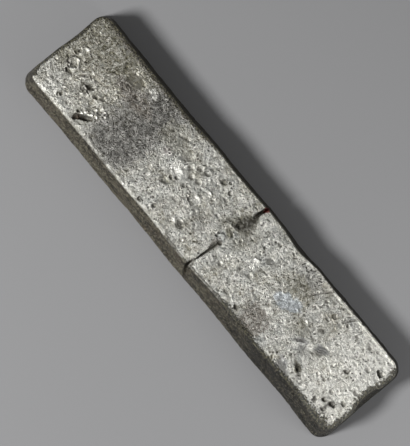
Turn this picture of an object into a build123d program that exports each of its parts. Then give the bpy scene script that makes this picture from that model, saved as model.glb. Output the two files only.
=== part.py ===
from build123d import *

import os
from math import cos, radians, sin, sqrt

# Silver ingot: a flat bar poured into an open mould and laid down on its poured face.
#
# The mould's draft leaves the base wider than the top. The long edges wander a little, one end
# has a bite in its rim, a cold shut splits the bar across near the middle, two hairline cracks
# run in from the far edge, laps follow the near side, and gas has left blow holes in the top.
# The poured face, hidden below, has the shallow hollow that silver leaves as it shrinks.
#
# +X runs along the bar, +Z is up, and the origin is the middle of the base. The far side is +Y.

# Body of the casting, in millimetres
base_length = 128.8
base_width = 31.8
height = 10.8
end_draft = 1.5  # each end leans in by this much from base to top
side_draft = 2.5  # each long side leans in by this much
base_corner_radius = 4.2
top_corner_radius = 3.6
rim_radius = 0.5  # round of the top edge, cast against the mould
pour_radius = 1.3  # round of the bottom edge, drawn in by the melt's surface tension
round_steps = 2  # flats in each of these rounds

# How far the outline wanders inwards, at the top and at the base
top_wave = 1.1
base_wave = 0.5
end_bite = 1.05  # depth of the bite in the +X end's rim; the base keeps its line there

# Shrinkage hollow under the bar, and the flat land left around it to rest on
hollow_depth = 0.7
end_land = 18.0
side_land = 6.5

# Cold shut across the bar
shut_gape = 2.1  # its mouth where it is widest
shut_depth = 10.0  # its root where it is deepest, at the near side
shut_place = 5.3  # from the middle of the bar to the middle of the shut
shut_sway = 1.6  # how far its path strays either way from that place

# Hairline cracks in the far edge
hairline_gape = 0.34
hairline_depth = 1.3
hairline_reach = 8.0  # from the far edge inwards
hairline_slant = 4.6  # how far each runs back along the bar over its reach

# Laps along the near side, where one layer of metal froze over another
lap_gape = 0.55
lap_depth = 0.6

# Gas holes in the top: bubbles that burst there, and pinholes
bubble_radius = 1.8  # of the largest bubble
pinhole_radius = 0.6  # of the largest pinhole's mouth
pinhole_depth = 0.5
pinhole_taper = 25  # degrees by which its wall leans in
pinhole_sides = 8

# Every cut starts this far outside the metal
overrun = 2.0

top_length = base_length - 2 * end_draft
top_width = base_width - 2 * side_draft

# Outline waves: a place along the side from its middle, as a share of its half run between
# corners, then how far in the outline stands there, as a share of the wave
far_side_shares = (
    (-0.70, 0.30), (-0.52, 0.42), (-0.38, 0.38), (-0.26, 0.02), (-0.15, 0.22), (0.08, 0.00),
    (0.24, 0.10), (0.32, 0.62), (0.37, 0.66), (0.46, 0.02), (0.55, 0.08), (0.68, 0.04),
)
near_side_shares = (
    (-0.80, 0.30), (-0.45, 0.20), (-0.17, 0.45), (0.06, 0.05), (0.22, 0.55), (0.34, 0.50),
    (0.55, 0.15), (0.84, 0.55),
)
left_end_shares = ((-0.50, 0.00), (0.00, 0.18), (0.50, 0.40))

# The same for the bite, as a share of its own depth
bite_shares = ((-0.32, 0.04), (-0.12, 0.84), (0.15, 1.00), (0.38, 0.92), (0.60, 0.08), (0.80, 0.00))

# Levels of the shrinkage hollow, as shares of its depth
hollow_rise_shares = (0.00, 0.35, 0.65, 0.90)

# Cold shut, from the far edge to the near one: place across the bar as a share of its half
# width, then sway, gape, depth and the root's sway beyond the mouth's, as shares
shut_shares = (
    (1.15, 0.90, 0.24, 0.46, 0.40),
    (0.88, 0.66, 0.24, 0.34, 0.30),
    (0.68, 0.40, 0.42, 0.23, 0.15),
    (0.51, 0.24, 0.92, 0.17, 0.00),
    (0.32, 0.02, 1.00, 0.16, 0.00),
    (0.15, 0.00, 0.60, 0.13, 0.00),
    (-0.02, -0.14, 0.26, 0.11, 0.00),
    (-0.19, -0.22, 0.38, 0.16, 0.00),
    (-0.41, -0.40, 0.38, 0.24, 0.10),
    (-0.61, -0.62, 0.30, 0.42, 0.35),
    (-0.84, -0.90, 0.26, 0.80, 1.00),
    (-1.15, -1.00, 0.24, 1.00, 1.90),
)

# Hairlines: where each leaves the far edge, as a share of the top's half length, then the
# stations that both follow, each a place along the reach, gape and depth as shares
hairline_place_shares = (0.558, 0.715)
hairline_shares = (
    (-0.25, 1.00, 1.00),
    (0.25, 0.95, 0.80),
    (0.60, 0.70, 0.50),
    (1.00, 0.20, 0.15),
)

# Laps: stations along the bar as shares of its half length, each with its level as a share
# of the height, then gape and depth as shares
lap_shares = (
    ((0.16, 0.84, 0.10, 0.10), (0.24, 0.86, 0.80, 0.80), (0.32, 0.85, 1.00, 1.00),
     (0.38, 0.82, 0.60, 0.70), (0.44, 0.83, 0.15, 0.15)),
    ((0.40, 0.83, 0.15, 0.15), (0.48, 0.80, 0.90, 0.90), (0.56, 0.76, 1.00, 1.00),
     (0.66, 0.78, 0.70, 0.80), (0.78, 0.79, 0.80, 0.80), (0.90, 0.76, 0.15, 0.15)),
    ((0.20, 0.52, 0.15, 0.15), (0.32, 0.54, 0.70, 0.70), (0.46, 0.51, 0.80, 0.70),
     (0.60, 0.50, 0.60, 0.60), (0.74, 0.50, 0.15, 0.15)),
)

# Gas bubbles that burst at the top, alone or in chains: place along the bar and across it as
# shares of the top's half length and half width, radius as a share of the largest one's, and
# how far the middle stands above the top, as a share of its own radius
bubble_shares = (
    (-0.793, -0.27, 0.90, 0.40),
    (-0.737, -0.76, 0.42, 0.00),
    (-0.715, -0.67, 0.50, 0.05),
    (-0.691, -0.60, 0.34, 0.20),
    (-0.916, -0.25, 0.44, 0.25),
    (-0.085, -0.59, 0.70, 0.60),
    (0.637, 0.65, 0.50, 0.50),
    (0.702, -0.58, 0.44, 0.20),
    (0.711, 0.00, 1.00, 0.78),
    (0.856, -0.71, 0.62, 0.50),
    (0.922, -0.58, 0.42, 0.00),
    (0.953, 0.61, 0.36, 0.00),
)

# Pinholes: place along the bar and across it as shares of the top's half length and half
# width, and radius as a share of the largest one's
pinhole_shares = (
    (-0.901, -0.35, 0.80),
    (-0.848, -0.77, 0.70),
    (-0.737, -0.26, 0.90),
    (-0.281, -0.87, 0.65),
    (-0.221, -0.73, 0.85),
    (-0.107, 0.66, 0.90),
    (-0.084, 0.74, 0.70),
    (-0.149, -0.08, 0.85),
    (-0.123, -0.13, 0.70),
    (0.182, 0.71, 0.65),
    (0.338, -0.78, 0.90),
    (0.725, -0.65, 0.95),
    (0.889, -0.64, 1.00),
    (0.922, -0.73, 0.90),
    (0.947, -0.35, 0.85),
)


def wedge(middle, root, gape, face, depth):
    """Corners of a wedge that opens outwards through a face and ends in its root."""
    left = middle - gape / 2
    right = middle + gape / 2
    return (
        (left, face + overrun),
        (left, face),
        (root, face - depth),
        (right, face),
        (right, face + overrun),
    )


# Levels of the body: how high each stands, and how far the round there draws the outline in
turns = [radians(90) * step / round_steps for step in range(round_steps + 1)]
pour_levels = [(pour_radius * (1 - cos(t)), pour_radius * (1 - sin(t))) for t in turns]
rim_levels = [(height - rim_radius * (1 - sin(t)), rim_radius * (1 - cos(t))) for t in turns]

with BuildPart() as ingot:
    # Body: outlines from the base up to the top, with draft on all four sides
    for level, inset in pour_levels + rim_levels:
        rise = level / height
        half_length = base_length / 2 - rise * end_draft - inset
        half_width = base_width / 2 - rise * side_draft - inset
        radius = (1 - rise) * base_corner_radius + rise * top_corner_radius - inset
        wave = (1 - rise) * base_wave + rise * top_wave
        side_run = half_length - radius
        end_run = half_width - radius
        with BuildSketch(Plane.XY.offset(level)):
            with BuildLine():
                Spline(
                    (-side_run, half_width),
                    *[(s * side_run, half_width - w * wave) for s, w in far_side_shares],
                    (side_run, half_width),
                    tangents=((1, 0), (1, 0)),
                )
                CenterArc((side_run, end_run), radius, 0, 90)
                Spline(
                    (half_length, -end_run),
                    *[(half_length - w * rise * end_bite, s * end_run) for s, w in bite_shares],
                    (half_length, end_run),
                    tangents=((0, 1), (0, 1)),
                )
                CenterArc((side_run, -end_run), radius, 270, 90)
                Spline(
                    (-side_run, -half_width),
                    *[(s * side_run, w * wave - half_width) for s, w in near_side_shares],
                    (side_run, -half_width),
                    tangents=((1, 0), (1, 0)),
                )
                CenterArc((-side_run, -end_run), radius, 180, 90)
                Spline(
                    (-half_length, -end_run),
                    *[(w * wave - half_length, s * end_run) for s, w in left_end_shares],
                    (-half_length, end_run),
                    tangents=((0, 1), (0, 1)),
                )
                CenterArc((-side_run, end_run), radius, 90, 90)
            make_face()
    loft(ruled=True)

    # Shrinkage hollow: a shallow dish, whose outline draws in as it deepens
    for rise in hollow_rise_shares:
        inset = (1 - sqrt(1 - rise)) * (base_width / 2 - side_land)
        with BuildSketch(Plane.XY.offset(rise * hollow_depth)):
            SlotOverall(base_length - 2 * (end_land + inset), base_width - 2 * (side_land + inset))
    loft(ruled=True, mode=Mode.SUBTRACT)

    # Cold shut: wedges across the bar, from the far side to the near one
    for across, sway, gape, depth, root_sway in shut_shares:
        middle = shut_place + sway * shut_sway
        root = middle + root_sway * shut_sway
        with BuildSketch(Plane.XZ.offset(-across * base_width / 2)):
            Polygon(
                *wedge(middle, root, gape * shut_gape, height, depth * shut_depth), align=None
            )
    loft(ruled=True, mode=Mode.SUBTRACT)

    # Hairline cracks: much finer wedges, which slant in from the far edge
    for place in hairline_place_shares:
        for along, gape, depth in hairline_shares:
            middle = place * top_length / 2 - along * hairline_slant
            with BuildSketch(Plane.XZ.offset(along * hairline_reach - top_width / 2)):
                Polygon(
                    *wedge(middle, middle, gape * hairline_gape, height, depth * hairline_depth),
                    align=None,
                )
        loft(ruled=True, mode=Mode.SUBTRACT)

    # Laps: wedges along the near side, sketched with the bar's height as their first axis
    for stations in lap_shares:
        for along, rise, gape, depth in stations:
            level = rise * height
            face = base_width / 2 - rise * side_draft
            across_bar = Plane(
                origin=(along * base_length / 2, 0, 0), x_dir=(0, 0, 1), z_dir=(1, 0, 0)
            )
            with BuildSketch(across_bar):
                Polygon(
                    *wedge(level, level, gape * lap_gape, face, depth * lap_depth), align=None
                )
        loft(ruled=True, mode=Mode.SUBTRACT)

    # Burst bubbles
    for along, across, size, above in bubble_shares:
        radius = size * bubble_radius
        with Locations((along * top_length / 2, across * top_width / 2, height + above * radius)):
            Sphere(radius, mode=Mode.SUBTRACT)

    # Pinholes, which narrow downwards
    with BuildSketch(Plane.XY.offset(height)):
        for along, across, size in pinhole_shares:
            with Locations((along * top_length / 2, across * top_width / 2)):
                RegularPolygon(size * pinhole_radius, pinhole_sides)
    extrude(amount=-pinhole_depth, taper=pinhole_taper, mode=Mode.SUBTRACT)

ingot.part.label = "ingot"

os.makedirs("parts", exist_ok=True)
export_step(ingot.part, "parts/ingot.step")
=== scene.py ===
# %% [markdown]
# A small cast silver ingot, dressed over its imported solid.
# The solid already has the true size, the draft of the mould, the crack and the larger gas holes.
# What it lacks is the skin of poured metal: a frozen, wormy surface full of pits, knobs and folds,
# greyed and browned by tarnish. So one new piece, ingot_skin, is measured off the solid and
# takes its place in the picture, and the solid stays for weight and collision.

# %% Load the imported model
from math import cos, pi, radians, sin, tan

import bmesh
import bpy
import numpy as np
from mathutils import Matrix, Vector, noise
from mathutils.bvhtree import BVHTree
from mathutils.geometry import delaunay_2d_cdt
from mathutils.kdtree import KDTree


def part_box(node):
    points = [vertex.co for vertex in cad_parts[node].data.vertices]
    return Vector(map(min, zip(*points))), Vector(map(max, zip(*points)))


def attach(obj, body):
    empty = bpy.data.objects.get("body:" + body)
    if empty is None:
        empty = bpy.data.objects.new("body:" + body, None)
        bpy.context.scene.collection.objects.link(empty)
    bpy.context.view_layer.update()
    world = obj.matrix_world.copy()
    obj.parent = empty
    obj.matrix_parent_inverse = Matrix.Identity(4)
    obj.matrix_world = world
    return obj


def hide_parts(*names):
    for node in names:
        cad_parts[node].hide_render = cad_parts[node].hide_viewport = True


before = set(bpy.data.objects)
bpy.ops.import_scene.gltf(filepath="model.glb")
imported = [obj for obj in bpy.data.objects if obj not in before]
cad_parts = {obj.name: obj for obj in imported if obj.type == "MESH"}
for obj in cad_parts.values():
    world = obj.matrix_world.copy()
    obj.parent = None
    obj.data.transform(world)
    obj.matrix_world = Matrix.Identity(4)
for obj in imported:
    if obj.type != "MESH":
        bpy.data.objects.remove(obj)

mm = 0.001
drift_seed = 3                         # without a seed, drifting points start from the clock
noise.seed_set(drift_seed)
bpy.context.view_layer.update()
bar_low, bar_high = (Vector(corner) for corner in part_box("ingot"))
print("The solid measures", [round(side / mm, 2) for side in bar_high - bar_low], "mm")

# %% [markdown]
# The camera looks almost straight down, and the bar runs from the upper left to the lower right.
# An upright camera aimed with a constraint can't roll like that, so its three axes are worked out:
# the line of sight leans a little from the plumb line, and the top of the picture is turned
# against the bar's length.

# %% Camera
photo_tall = 446                       # pixels on the taller side of the picture
pixel = 0.2674 * mm                    # what one pixel covers on the bar's top
camera_distance = 500 * mm
lean_along = radians(1.5)              # towards the +X end
lean_across = radians(-7.3)            # towards the near side
bar_slope = radians(50.26)             # the bar's length below the horizontal of the picture
aim = Vector((-1.42, -2.31, 10.8)) * mm

sight = Vector((tan(lean_along), tan(lean_across), 1)).normalized()
picture_up = Vector((-sin(bar_slope), cos(bar_slope), 0))
picture_right = picture_up.cross(sight).normalized()
camera = bpy.data.objects.new("camera", bpy.data.cameras.new("camera"))
camera.data.sensor_width = 36
camera.data.lens = camera.data.sensor_width * camera_distance / (photo_tall * pixel)
camera.data.clip_start = 10 * mm
camera.matrix_world = (
    Matrix.Translation(aim + sight * camera_distance)
    @ Matrix((picture_right, sight.cross(picture_right), sight)).transposed().to_4x4()
)
bpy.context.scene.collection.objects.link(camera)
bpy.context.scene.camera = camera
bpy.context.scene.view_settings.view_transform = "Standard"
print("Lens", round(camera.data.lens, 1), "mm")

# %% [markdown]
# One soft lamp stands to the left, halfway up, and throws the shadow to the right.
# A small one stands close to the +X end: there the photo's shadow fades away and its rim shines.
# Metal shows its relief by what it mirrors, so the lamp is kept small enough to leave bright
# flanks and dark flanks on every ridge, and the world fills in at a low, even level.

# %% Lamps and world
key_direction = Vector((-0.278, -0.652, 0.705))
key_distance = 800 * mm
key_size = 200 * mm
key_power = 6.9
side_direction = Vector((0.88, 0.2, 0.43))
side_distance = 220 * mm
side_size = 120 * mm
side_power = 0.11
fill_level = 0.14


def lamp(name, direction, distance, size, power):
    """A round soft lamp that shines at the bar from the given direction."""
    light = bpy.data.lights.new(name, "AREA")
    light.shape = "DISK"
    light.size = size
    light.energy = power
    placed = bpy.data.objects.new(name, light)
    placed.location = direction.normalized() * distance
    placed.rotation_euler = direction.to_track_quat("Z", "Y").to_euler()
    bpy.context.scene.collection.objects.link(placed)
    return placed


lamp("key_lamp", key_direction, key_distance, key_size, key_power)
lamp("side_lamp", side_direction, side_distance, side_size, side_power)
world = bpy.data.worlds.new("even_fill")
world.use_nodes = True
world.node_tree.nodes["Background"].inputs["Color"].default_value = (1.0, 1.0, 1.0, 1.0)
world.node_tree.nodes["Background"].inputs["Strength"].default_value = fill_level
bpy.context.scene.world = world
print("Lamps:", ", ".join(light.name for light in bpy.data.lights))

# %% [markdown]
# Every tree of nodes below, for shapes and for finishes, is built with the same four helpers: one
# adds a node with its settings and its inputs, two add a sum of numbers or of vectors, and one
# starts a group with named sockets. Written out node by node, the trees would be far longer.
# An input takes either a number or the output of another node.

# %% Helpers for trees of nodes


def node(tree, kind, inputs=None, **settings):
    """One node of a tree, with its settings, and its inputs as values or as links."""
    made = tree.nodes.new(kind)
    for name, value in settings.items():
        setattr(made, name, value)
    for key, value in (inputs or {}).items():
        if isinstance(value, bpy.types.NodeSocket):
            tree.links.new(value, made.inputs[key])
        else:
            made.inputs[key].default_value = value
    return made


def maths(tree, operation, *terms, clamp=False):
    """The result of one sum of numbers."""
    inputs = dict(enumerate(terms))
    return node(tree, "ShaderNodeMath", inputs, operation=operation, use_clamp=clamp).outputs[0]


def vectors(tree, operation, *terms):
    """The result of one sum of vectors."""
    return node(tree, "ShaderNodeVectorMath", dict(enumerate(terms)), operation=operation).outputs[0]


def new_group(name, kind, inputs, outputs):
    """A node group with named sockets, and its two end nodes."""
    tree = bpy.data.node_groups.new(name, kind)
    for side, sockets in (("INPUT", inputs), ("OUTPUT", outputs)):
        for label, socket_kind, *value in sockets:
            made = tree.interface.new_socket(name=label, in_out=side, socket_type="NodeSocket" + socket_kind)
            if value:
                made.default_value = value[0]
    return tree, tree.nodes.new("NodeGroupInput").outputs, tree.nodes.new("NodeGroupOutput").inputs


# %% [markdown]
# The skin starts as rings around the bar, from the top rim down to the base.
# A remeshed copy of the solid would spend most of its triangles where nothing shows, so the
# rings are measured instead: from points on an inner rectangle, the core, rays find how far the
# solid reaches outwards, and where cracks and laps let a ray in deeper, the ring goes in too.

# %% Search tree of the solid
weld_distance = 0.0005 * mm

solid = bmesh.new()
solid.from_mesh(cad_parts["ingot"].data)
bmesh.ops.remove_doubles(solid, verts=solid.verts, dist=weld_distance)
tree_of_solid = BVHTree.FromBMesh(solid)
print("Rays will meet a solid of", len(solid.faces), "faces")
solid.free()

# %% Walk around the bar
corner_reach = 5.2 * mm                # from a corner of the core to the bar's outside
solid_rim = 0.5 * mm                   # round of the solid between the top and the sides
near_rim, edge_rim = 1.0 * mm, 0.5 * mm  # the skin's own round on the near side, left and right
far_rim, end_rim = 0.25 * mm, 0.4 * mm
pour_radius = 1.3 * mm                 # round between the sides and the base
top = bar_high.z
core_corners = [
    Vector((x, y))
    for x, y in (
        (bar_low.x + corner_reach, bar_low.y + corner_reach),
        (bar_high.x - corner_reach, bar_low.y + corner_reach),
        (bar_high.x - corner_reach, bar_high.y - corner_reach),
        (bar_low.x + corner_reach, bar_high.y - corner_reach),
    )
]
corner_walk = corner_reach * pi / 2


def station(walked):
    """The core point and the outward direction after a walk around the bar from its near left corner."""
    for side in range(4):
        start, end = core_corners[side], core_corners[(side + 1) % 4]
        heading = radians(90 * side - 90)
        run = (end - start).length
        if walked < run:
            return start.lerp(end, walked / run), Vector((cos(heading), sin(heading)))
        walked -= run
        if walked < corner_walk:
            heading += walked / corner_reach
            return end, Vector((cos(heading), sin(heading)))
        walked -= corner_walk
    return core_corners[0], Vector((0, -1))


side_walks = [(core_corners[(side + 1) % 4] - core_corners[side]).length for side in range(4)]
whole_walk = sum(side_walks) + 4 * corner_walk
far_side_start = side_walks[0] + side_walks[1] + 2 * corner_walk
print("The walk around the bar is", round(whole_walk / mm, 1), "mm long")

# %% Reach of the solid
outside = 12 * mm


def reach(point, heading, height):
    """How far the solid reaches from a core point at a height, as a ray from outside finds it."""
    start = point + heading * outside
    hit = tree_of_solid.ray_cast(Vector((*start, height)), Vector((-heading.x, -heading.y, 0)))
    return outside - hit[3] if hit[0] else 0.0


def smooth_reach(height, count=640, window=7):
    """The reach at even stations, with narrow cracks skipped by taking the median of neighbours."""
    raw = np.array([reach(*station(whole_walk * i / count), height) for i in range(count)])
    rolled = [np.roll(raw, shift) for shift in range(-(window // 2), window // 2 + 1)]
    return np.median(rolled, axis=0)


low_measure, high_measure = 1.6 * mm, 9.9 * mm
low_reach, high_reach = smooth_reach(low_measure), smooth_reach(high_measure)
print("Mean draft", round(float(np.mean(low_reach - high_reach)) / mm, 2), "mm")

# %% Stations, closer together at the mouths of the cracks
side_step = 0.42 * mm
mouth_step = 0.13 * mm
near_mouths = ((2.4, 7.6),)            # in mm along the bar
far_mouths = ((5.9, 7.6), (34.2, 35.8), (43.8, 45.4))


def walk_at(x, far=False):
    """The walk that leads to a place along the near or the far side, given in mm."""
    along = x * mm - core_corners[0].x
    return far_side_start + side_walks[2] - along if far else along


mouth_walks = [(walk_at(a), walk_at(b)) for a, b in near_mouths]
mouth_walks += [(walk_at(b, True), walk_at(a, True)) for a, b in far_mouths]
walks = [0.0]
while walks[-1] < whole_walk - side_step:
    in_mouth = any(a < walks[-1] < b for a, b in mouth_walks)
    walks.append(walks[-1] + (mouth_step if in_mouth else side_step))
stations = [station(walked) for walked in walks]
cores = np.array([point for point, heading in stations])
headings = np.array([heading for point, heading in stations])
even = np.linspace(0, whole_walk, len(low_reach), endpoint=False)
low_line = np.interp(walks, even, low_reach, period=whole_walk)
high_line = np.interp(walks, even, high_reach, period=whole_walk)
print(len(walks), "stations")

# %% Shape of the crack's mouth in the top
crack_floor = 3.5 * mm                 # how far the top follows the crack down
hole_floor = 0.3 * mm                  # and the other holes
crack_middle, crack_zone = 5.3 * mm, 4.5 * mm
# Across the bar, in mm: how far rough metal fills the crack, how much of the rest shows, and how
# far a lip on either side narrows it
crack_places = np.array([-13.0, -11.5, -7.4, -6.6, -2.9, -2.3, 0.6, 2.2, 3.0, 8.8, 9.8, 12.0]) * mm
crack_fillings = np.array([2.0, 1.1, 0.8, 0.45, 0.45, 0.45, 0.0, 0.0, 0.0, 0.0, 0.3, 0.3]) * mm
crack_shares = [1.0, 1.0, 1.0, 0.7, 0.4, 0.0, 0.0, 0.1, 0.12, 0.12, 0.5, 1.0]
crack_lips = np.array([0.2, 0.15, 0.12, 0.12, 0.12, 0.12, 0.12, 0.15, 0.15, 0.1, 0.0, 0.0]) * mm


def hole_depth(x, y):
    """How deep the solid's own holes and cracks go at a point of the top."""
    hit = tree_of_solid.ray_cast(Vector((x, y, top + mm)), Vector((0, 0, -1)))
    return top - hit[0].z if hit[0] else 0.0


def top_height(x, y):
    """The height of the skin at a point: the solid's, with its holes and its crack partly filled."""
    if abs(x - crack_middle) > crack_zone:
        return top - min(hole_depth(x, y), hole_floor)
    lip = np.interp(y, crack_places, crack_lips)
    depth = min(hole_depth(x + aside, y) for aside in (-lip, 0, lip))
    depth = max(depth - np.interp(y, crack_places, crack_fillings), 0)
    return top - min(depth * np.interp(y, crack_places, crack_shares), crack_floor)


print("The skin follows the crack down to", crack_floor / mm, "mm and other holes to", hole_floor / mm, "mm")

# %% Height and inset of every ring, at every station
rim_rows = 5
side_rows = 18
pour_rows = 4
sharpening = (-15 * mm, 8 * mm)        # along the bar, where the near rim turns from worn to sharp
rim_wave = 2.5 * mm                    # the rim's round grows and shrinks along the walk
rim_change = 0.25

facing = headings[:, 1]
facing_near, facing_far = np.clip(-facing, 0, 1), np.clip(facing, 0, 1)
worn_round = np.interp(cores[:, 0], sharpening, [near_rim, edge_rim])
rim = end_rim + (worn_round - end_rim) * facing_near + (far_rim - end_rim) * facing_far
rim *= [1 + rim_change * noise.noise(Vector((walked / rim_wave, 0, 0))) for walked in walks]
levels = [(top - rim * (1 - sin(a)), rim * (1 - cos(a)))
          for a in np.linspace(pi / 2, 0, rim_rows, endpoint=False)]
levels += [(top - rim + (pour_radius - top + rim) * share, 0 * rim)
           for share in np.linspace(0, 1, side_rows, endpoint=False)]
levels += [(pour_radius * (1 - sin(a)) + 0 * rim, pour_radius * (1 - cos(a)) + 0 * rim)
           for a in np.linspace(0, pi / 2, pour_rows + 1)]
print("The rim's round goes from", round(rim.min() / mm, 2), "to", round(rim.max() / mm, 2), "mm")

# %% Draw the rings
deepest = 1.5 * mm                     # how far a ring follows a crack inwards
narrowing = 0.35 * mm                  # rough metal that narrows the cracks of the near side
slightest = 0.12 * mm                  # a gap smaller than this is left closed
mouth_inset = 0.1 * mm                 # where a crack's mouth is looked for, inside the rim
mouth_depth = 0.5 * mm                 # and how deep a mouth has to be
mouth_step_down = 0.01 * mm            # each ring then lies a little below the one above


def ring(heights, insets):
    """One ring of the skin, drawn in where the solid has a crack or a lap."""
    line = low_line + (high_line - low_line) * (heights - low_measure) / (high_measure - low_measure)
    below_rim = np.minimum(heights, top - solid_rim)
    measured = np.array([reach(*place, height) for place, height in zip(stations, below_rim)])
    opened = np.clip(line - measured - narrowing * facing_near, 0, deepest)
    opened[(opened < slightest) | (heights < low_measure)] = 0
    flat = cores + headings * (line - insets - opened)[:, None]
    return np.column_stack([flat, heights]), opened


rings, openings = zip(*(ring(*level) for level in levels))
rings = np.array(rings)
openings = np.array(openings)
mouth_floor = np.array([top_height(*(core + heading * (line - solid_rim - mouth_inset)))
                        for core, heading, line in zip(cores, headings, high_line)])
at_mouth = mouth_floor < top - mouth_depth
for row in range(len(levels)):
    lowered = mouth_floor - row * mouth_step_down
    rings[row, at_mouth, 2] = np.minimum(rings[row, at_mouth, 2], lowered[at_mouth])
print(len(levels), "rings; cracks and laps at", int((openings > 0).sum()), "points")

# %% [markdown]
# The top and the base are filled with points and joined up by Blender's own triangulation,
# which keeps the ring as its border. A grid would do, but its rows would show in the relief,
# so the points stand in a loose honeycomb, and more are added in and beside cracks and holes.

# %% Points for the two faces


def honeycomb(spacing, looseness, seed):
    """Points in a loose honeycomb over the bar's box."""
    random = np.random.default_rng(seed)
    across = np.arange(bar_low.y, bar_high.y, spacing * sin(pi / 3))
    rows = []
    for count, y in enumerate(across):
        along = np.arange(bar_low.x, bar_high.x, spacing) + spacing / 2 * (count % 2)
        rows.append(np.column_stack([along, np.full(len(along), y)]))
    points = np.vstack(rows)
    return points + random.uniform(-looseness, looseness, points.shape) * spacing


def within(points, border):
    """Which points lie inside a closed border, by the even-odd rule."""
    x, y = points.T
    found = np.zeros(len(points), bool)
    for (x0, y0), (x1, y1) in zip(border, np.roll(border, -1, axis=0)):
        if y0 != y1:
            found ^= ((y0 > y) != (y1 > y)) & (x < (x1 - x0) * (y - y0) / (y1 - y0) + x0)
    return found


def fill(border, points):
    """Triangles over a border and the points inside it, as numbers of those points in that order."""
    count = len(border)
    same_point = 1e-5                  # points closer than this count as one
    flat = [Vector(point) / mm for point in np.vstack([border, points])]
    edges = [(i, (i + 1) % count) for i in range(count)]
    found = delaunay_2d_cdt(flat, edges, [list(range(count))], 1, same_point)
    faces, origins = found[2], found[3]
    return [[origins[corner][0] for corner in face] for face in faces]


# %% Fill the top
top_step = 0.27 * mm
fine_step = 0.14 * mm
border_gap = 0.17 * mm
hole_margin = 0.3 * mm
hole_start = 0.1 * mm                  # anything deeper is a hole

top_border = rings[0][:, :2]
top_margin = cores + (top_border - cores) * (1 - border_gap / corner_reach)
loose = honeycomb(top_step, 0.2, seed=3)
loose = loose[within(loose, top_margin)]
holes = [point for point in loose if top_height(*point) < top - hole_start]
near_holes = KDTree(len(holes))
for index, point in enumerate(holes):
    near_holes.insert((*point, 0), index)
near_holes.balance()


def by_a_hole(points):
    """Which points lie in or beside a hole or a crack of the top."""
    return np.array([near_holes.find((*point, 0))[2] < hole_margin for point in points], bool)


fine = honeycomb(fine_step, 0.15, seed=4)
fine = fine[by_a_hole(fine)]
fine = fine[within(fine, top_margin)]
top_inner = np.vstack([loose[~by_a_hole(loose)], fine])
top_faces = fill(top_border, top_inner)
top_inner_height = np.array([top_height(*point) for point in top_inner])
print(len(top_inner), "points and", len(top_faces), "triangles on the top")

# %% Fill the base
base_step = 0.9 * mm


def base_height(x, y):
    """The height of the solid's underside over a point."""
    hit = tree_of_solid.ray_cast(Vector((x, y, -mm)), Vector((0, 0, 1)))
    return hit[0].z if hit[0] else 0.0


base_border = rings[-1][:, :2]
base_margin = cores + (base_border - cores) * (1 - base_step / 2 / corner_reach)
base_inner = honeycomb(base_step, 0.2, seed=5)
base_inner = base_inner[within(base_inner, base_margin)]
base_faces = fill(base_border, base_inner)
base_inner_height = np.array([base_height(*point) for point in base_inner])
print(len(base_inner), "points and", len(base_faces), "triangles on the base")

# %% Join the rings and the two faces
headroom = 0.3 * mm                    # knobs may rise this far and still lie in the solid's box

count = len(walks)
ring_points = rings.reshape(-1, 3)
skin_points = np.vstack([
    ring_points,
    np.column_stack([top_inner, top_inner_height]),
    np.column_stack([base_inner, base_inner_height]),
])
skin_points[:, 2] *= 1 - headroom / top
first_top = len(ring_points)
first_base = first_top + len(top_inner)


def numbered(face, border_start, inner_start):
    """A face's points as numbers in the whole skin."""
    return [corner + border_start if corner < count else corner - count + inner_start for corner in face]


last_ring = (len(levels) - 1) * count
skin_faces = [
    [row + i, row + count + i, row + count + (i + 1) % count, row + (i + 1) % count]
    for row in range(0, last_ring, count)
    for i in range(count)
]
skin_faces += [numbered(face, 0, first_top) for face in top_faces]
skin_faces += [numbered(face, last_ring, first_base)[::-1] for face in base_faces]

flank = np.ones(len(skin_points))
flank[:first_top] = np.clip((top - ring_points[:, 2]) / np.tile(rim, len(levels)), 0, 1)
flank[first_top:first_base] = 0
depth_in = np.zeros(len(skin_points))
depth_in[:first_top] = openings.reshape(-1)
depth_in[first_top:first_base] = top - top_inner_height
print(len(skin_points), "points and", len(skin_faces), "faces in the skin")

# %% [markdown]
# Molten silver takes up gas and spits it out as it freezes, so the top is full of burst bubbles,
# knobs, folds and smooth pools. The large ones are told apart in the photograph, so each is placed
# one by one: its middle along and across the bar, its length, its width, its turn in degrees and
# its depth or height, all in mm. Their outlines wander a little, because no bubble bursts round.

# %% Waves and roughness of the skin
on_top = flank < 1
flat_points = skin_points[:, :2] / mm


def wandering(size, furthest):
    """A drift of every point to and fro, with waves of a size and a reach in mm."""
    return furthest * np.array([noise.noise_vector(Vector((x, y, 0)) / size)[:2] for x, y in flat_points])


def rough(size, seed):
    """An even roughness from about -1 to 1 at every point, with grains of a size in mm."""
    return np.array([noise.noise(Vector((x / size, y / size, seed))) for x, y in flat_points])


calm_patches = np.clip((rough(5.0, 9.0) + 0.05) / 0.3, 0, 1)
spot_points = flat_points + wandering(1.3, 0.3) + wandering(0.55, 0.16)
bowl_roughness = rough(0.5, 3.0)
lift = np.zeros(len(skin_points))      # in mm
calm = 0.4 * calm_patches
glint = np.zeros(len(skin_points))
print("Calm skin covers", round(100 * float(calm_patches.mean())), "in 100 points")

# %% Painted shade in the solid's own holes
dark_depth, stained_depth = 0.5 * mm, 0.15 * mm  # deep enough to be wholly dark or stained
hollow_start, hollow_end = 1.5, 9.6    # across the bar, in mm, where the crack gapes

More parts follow.
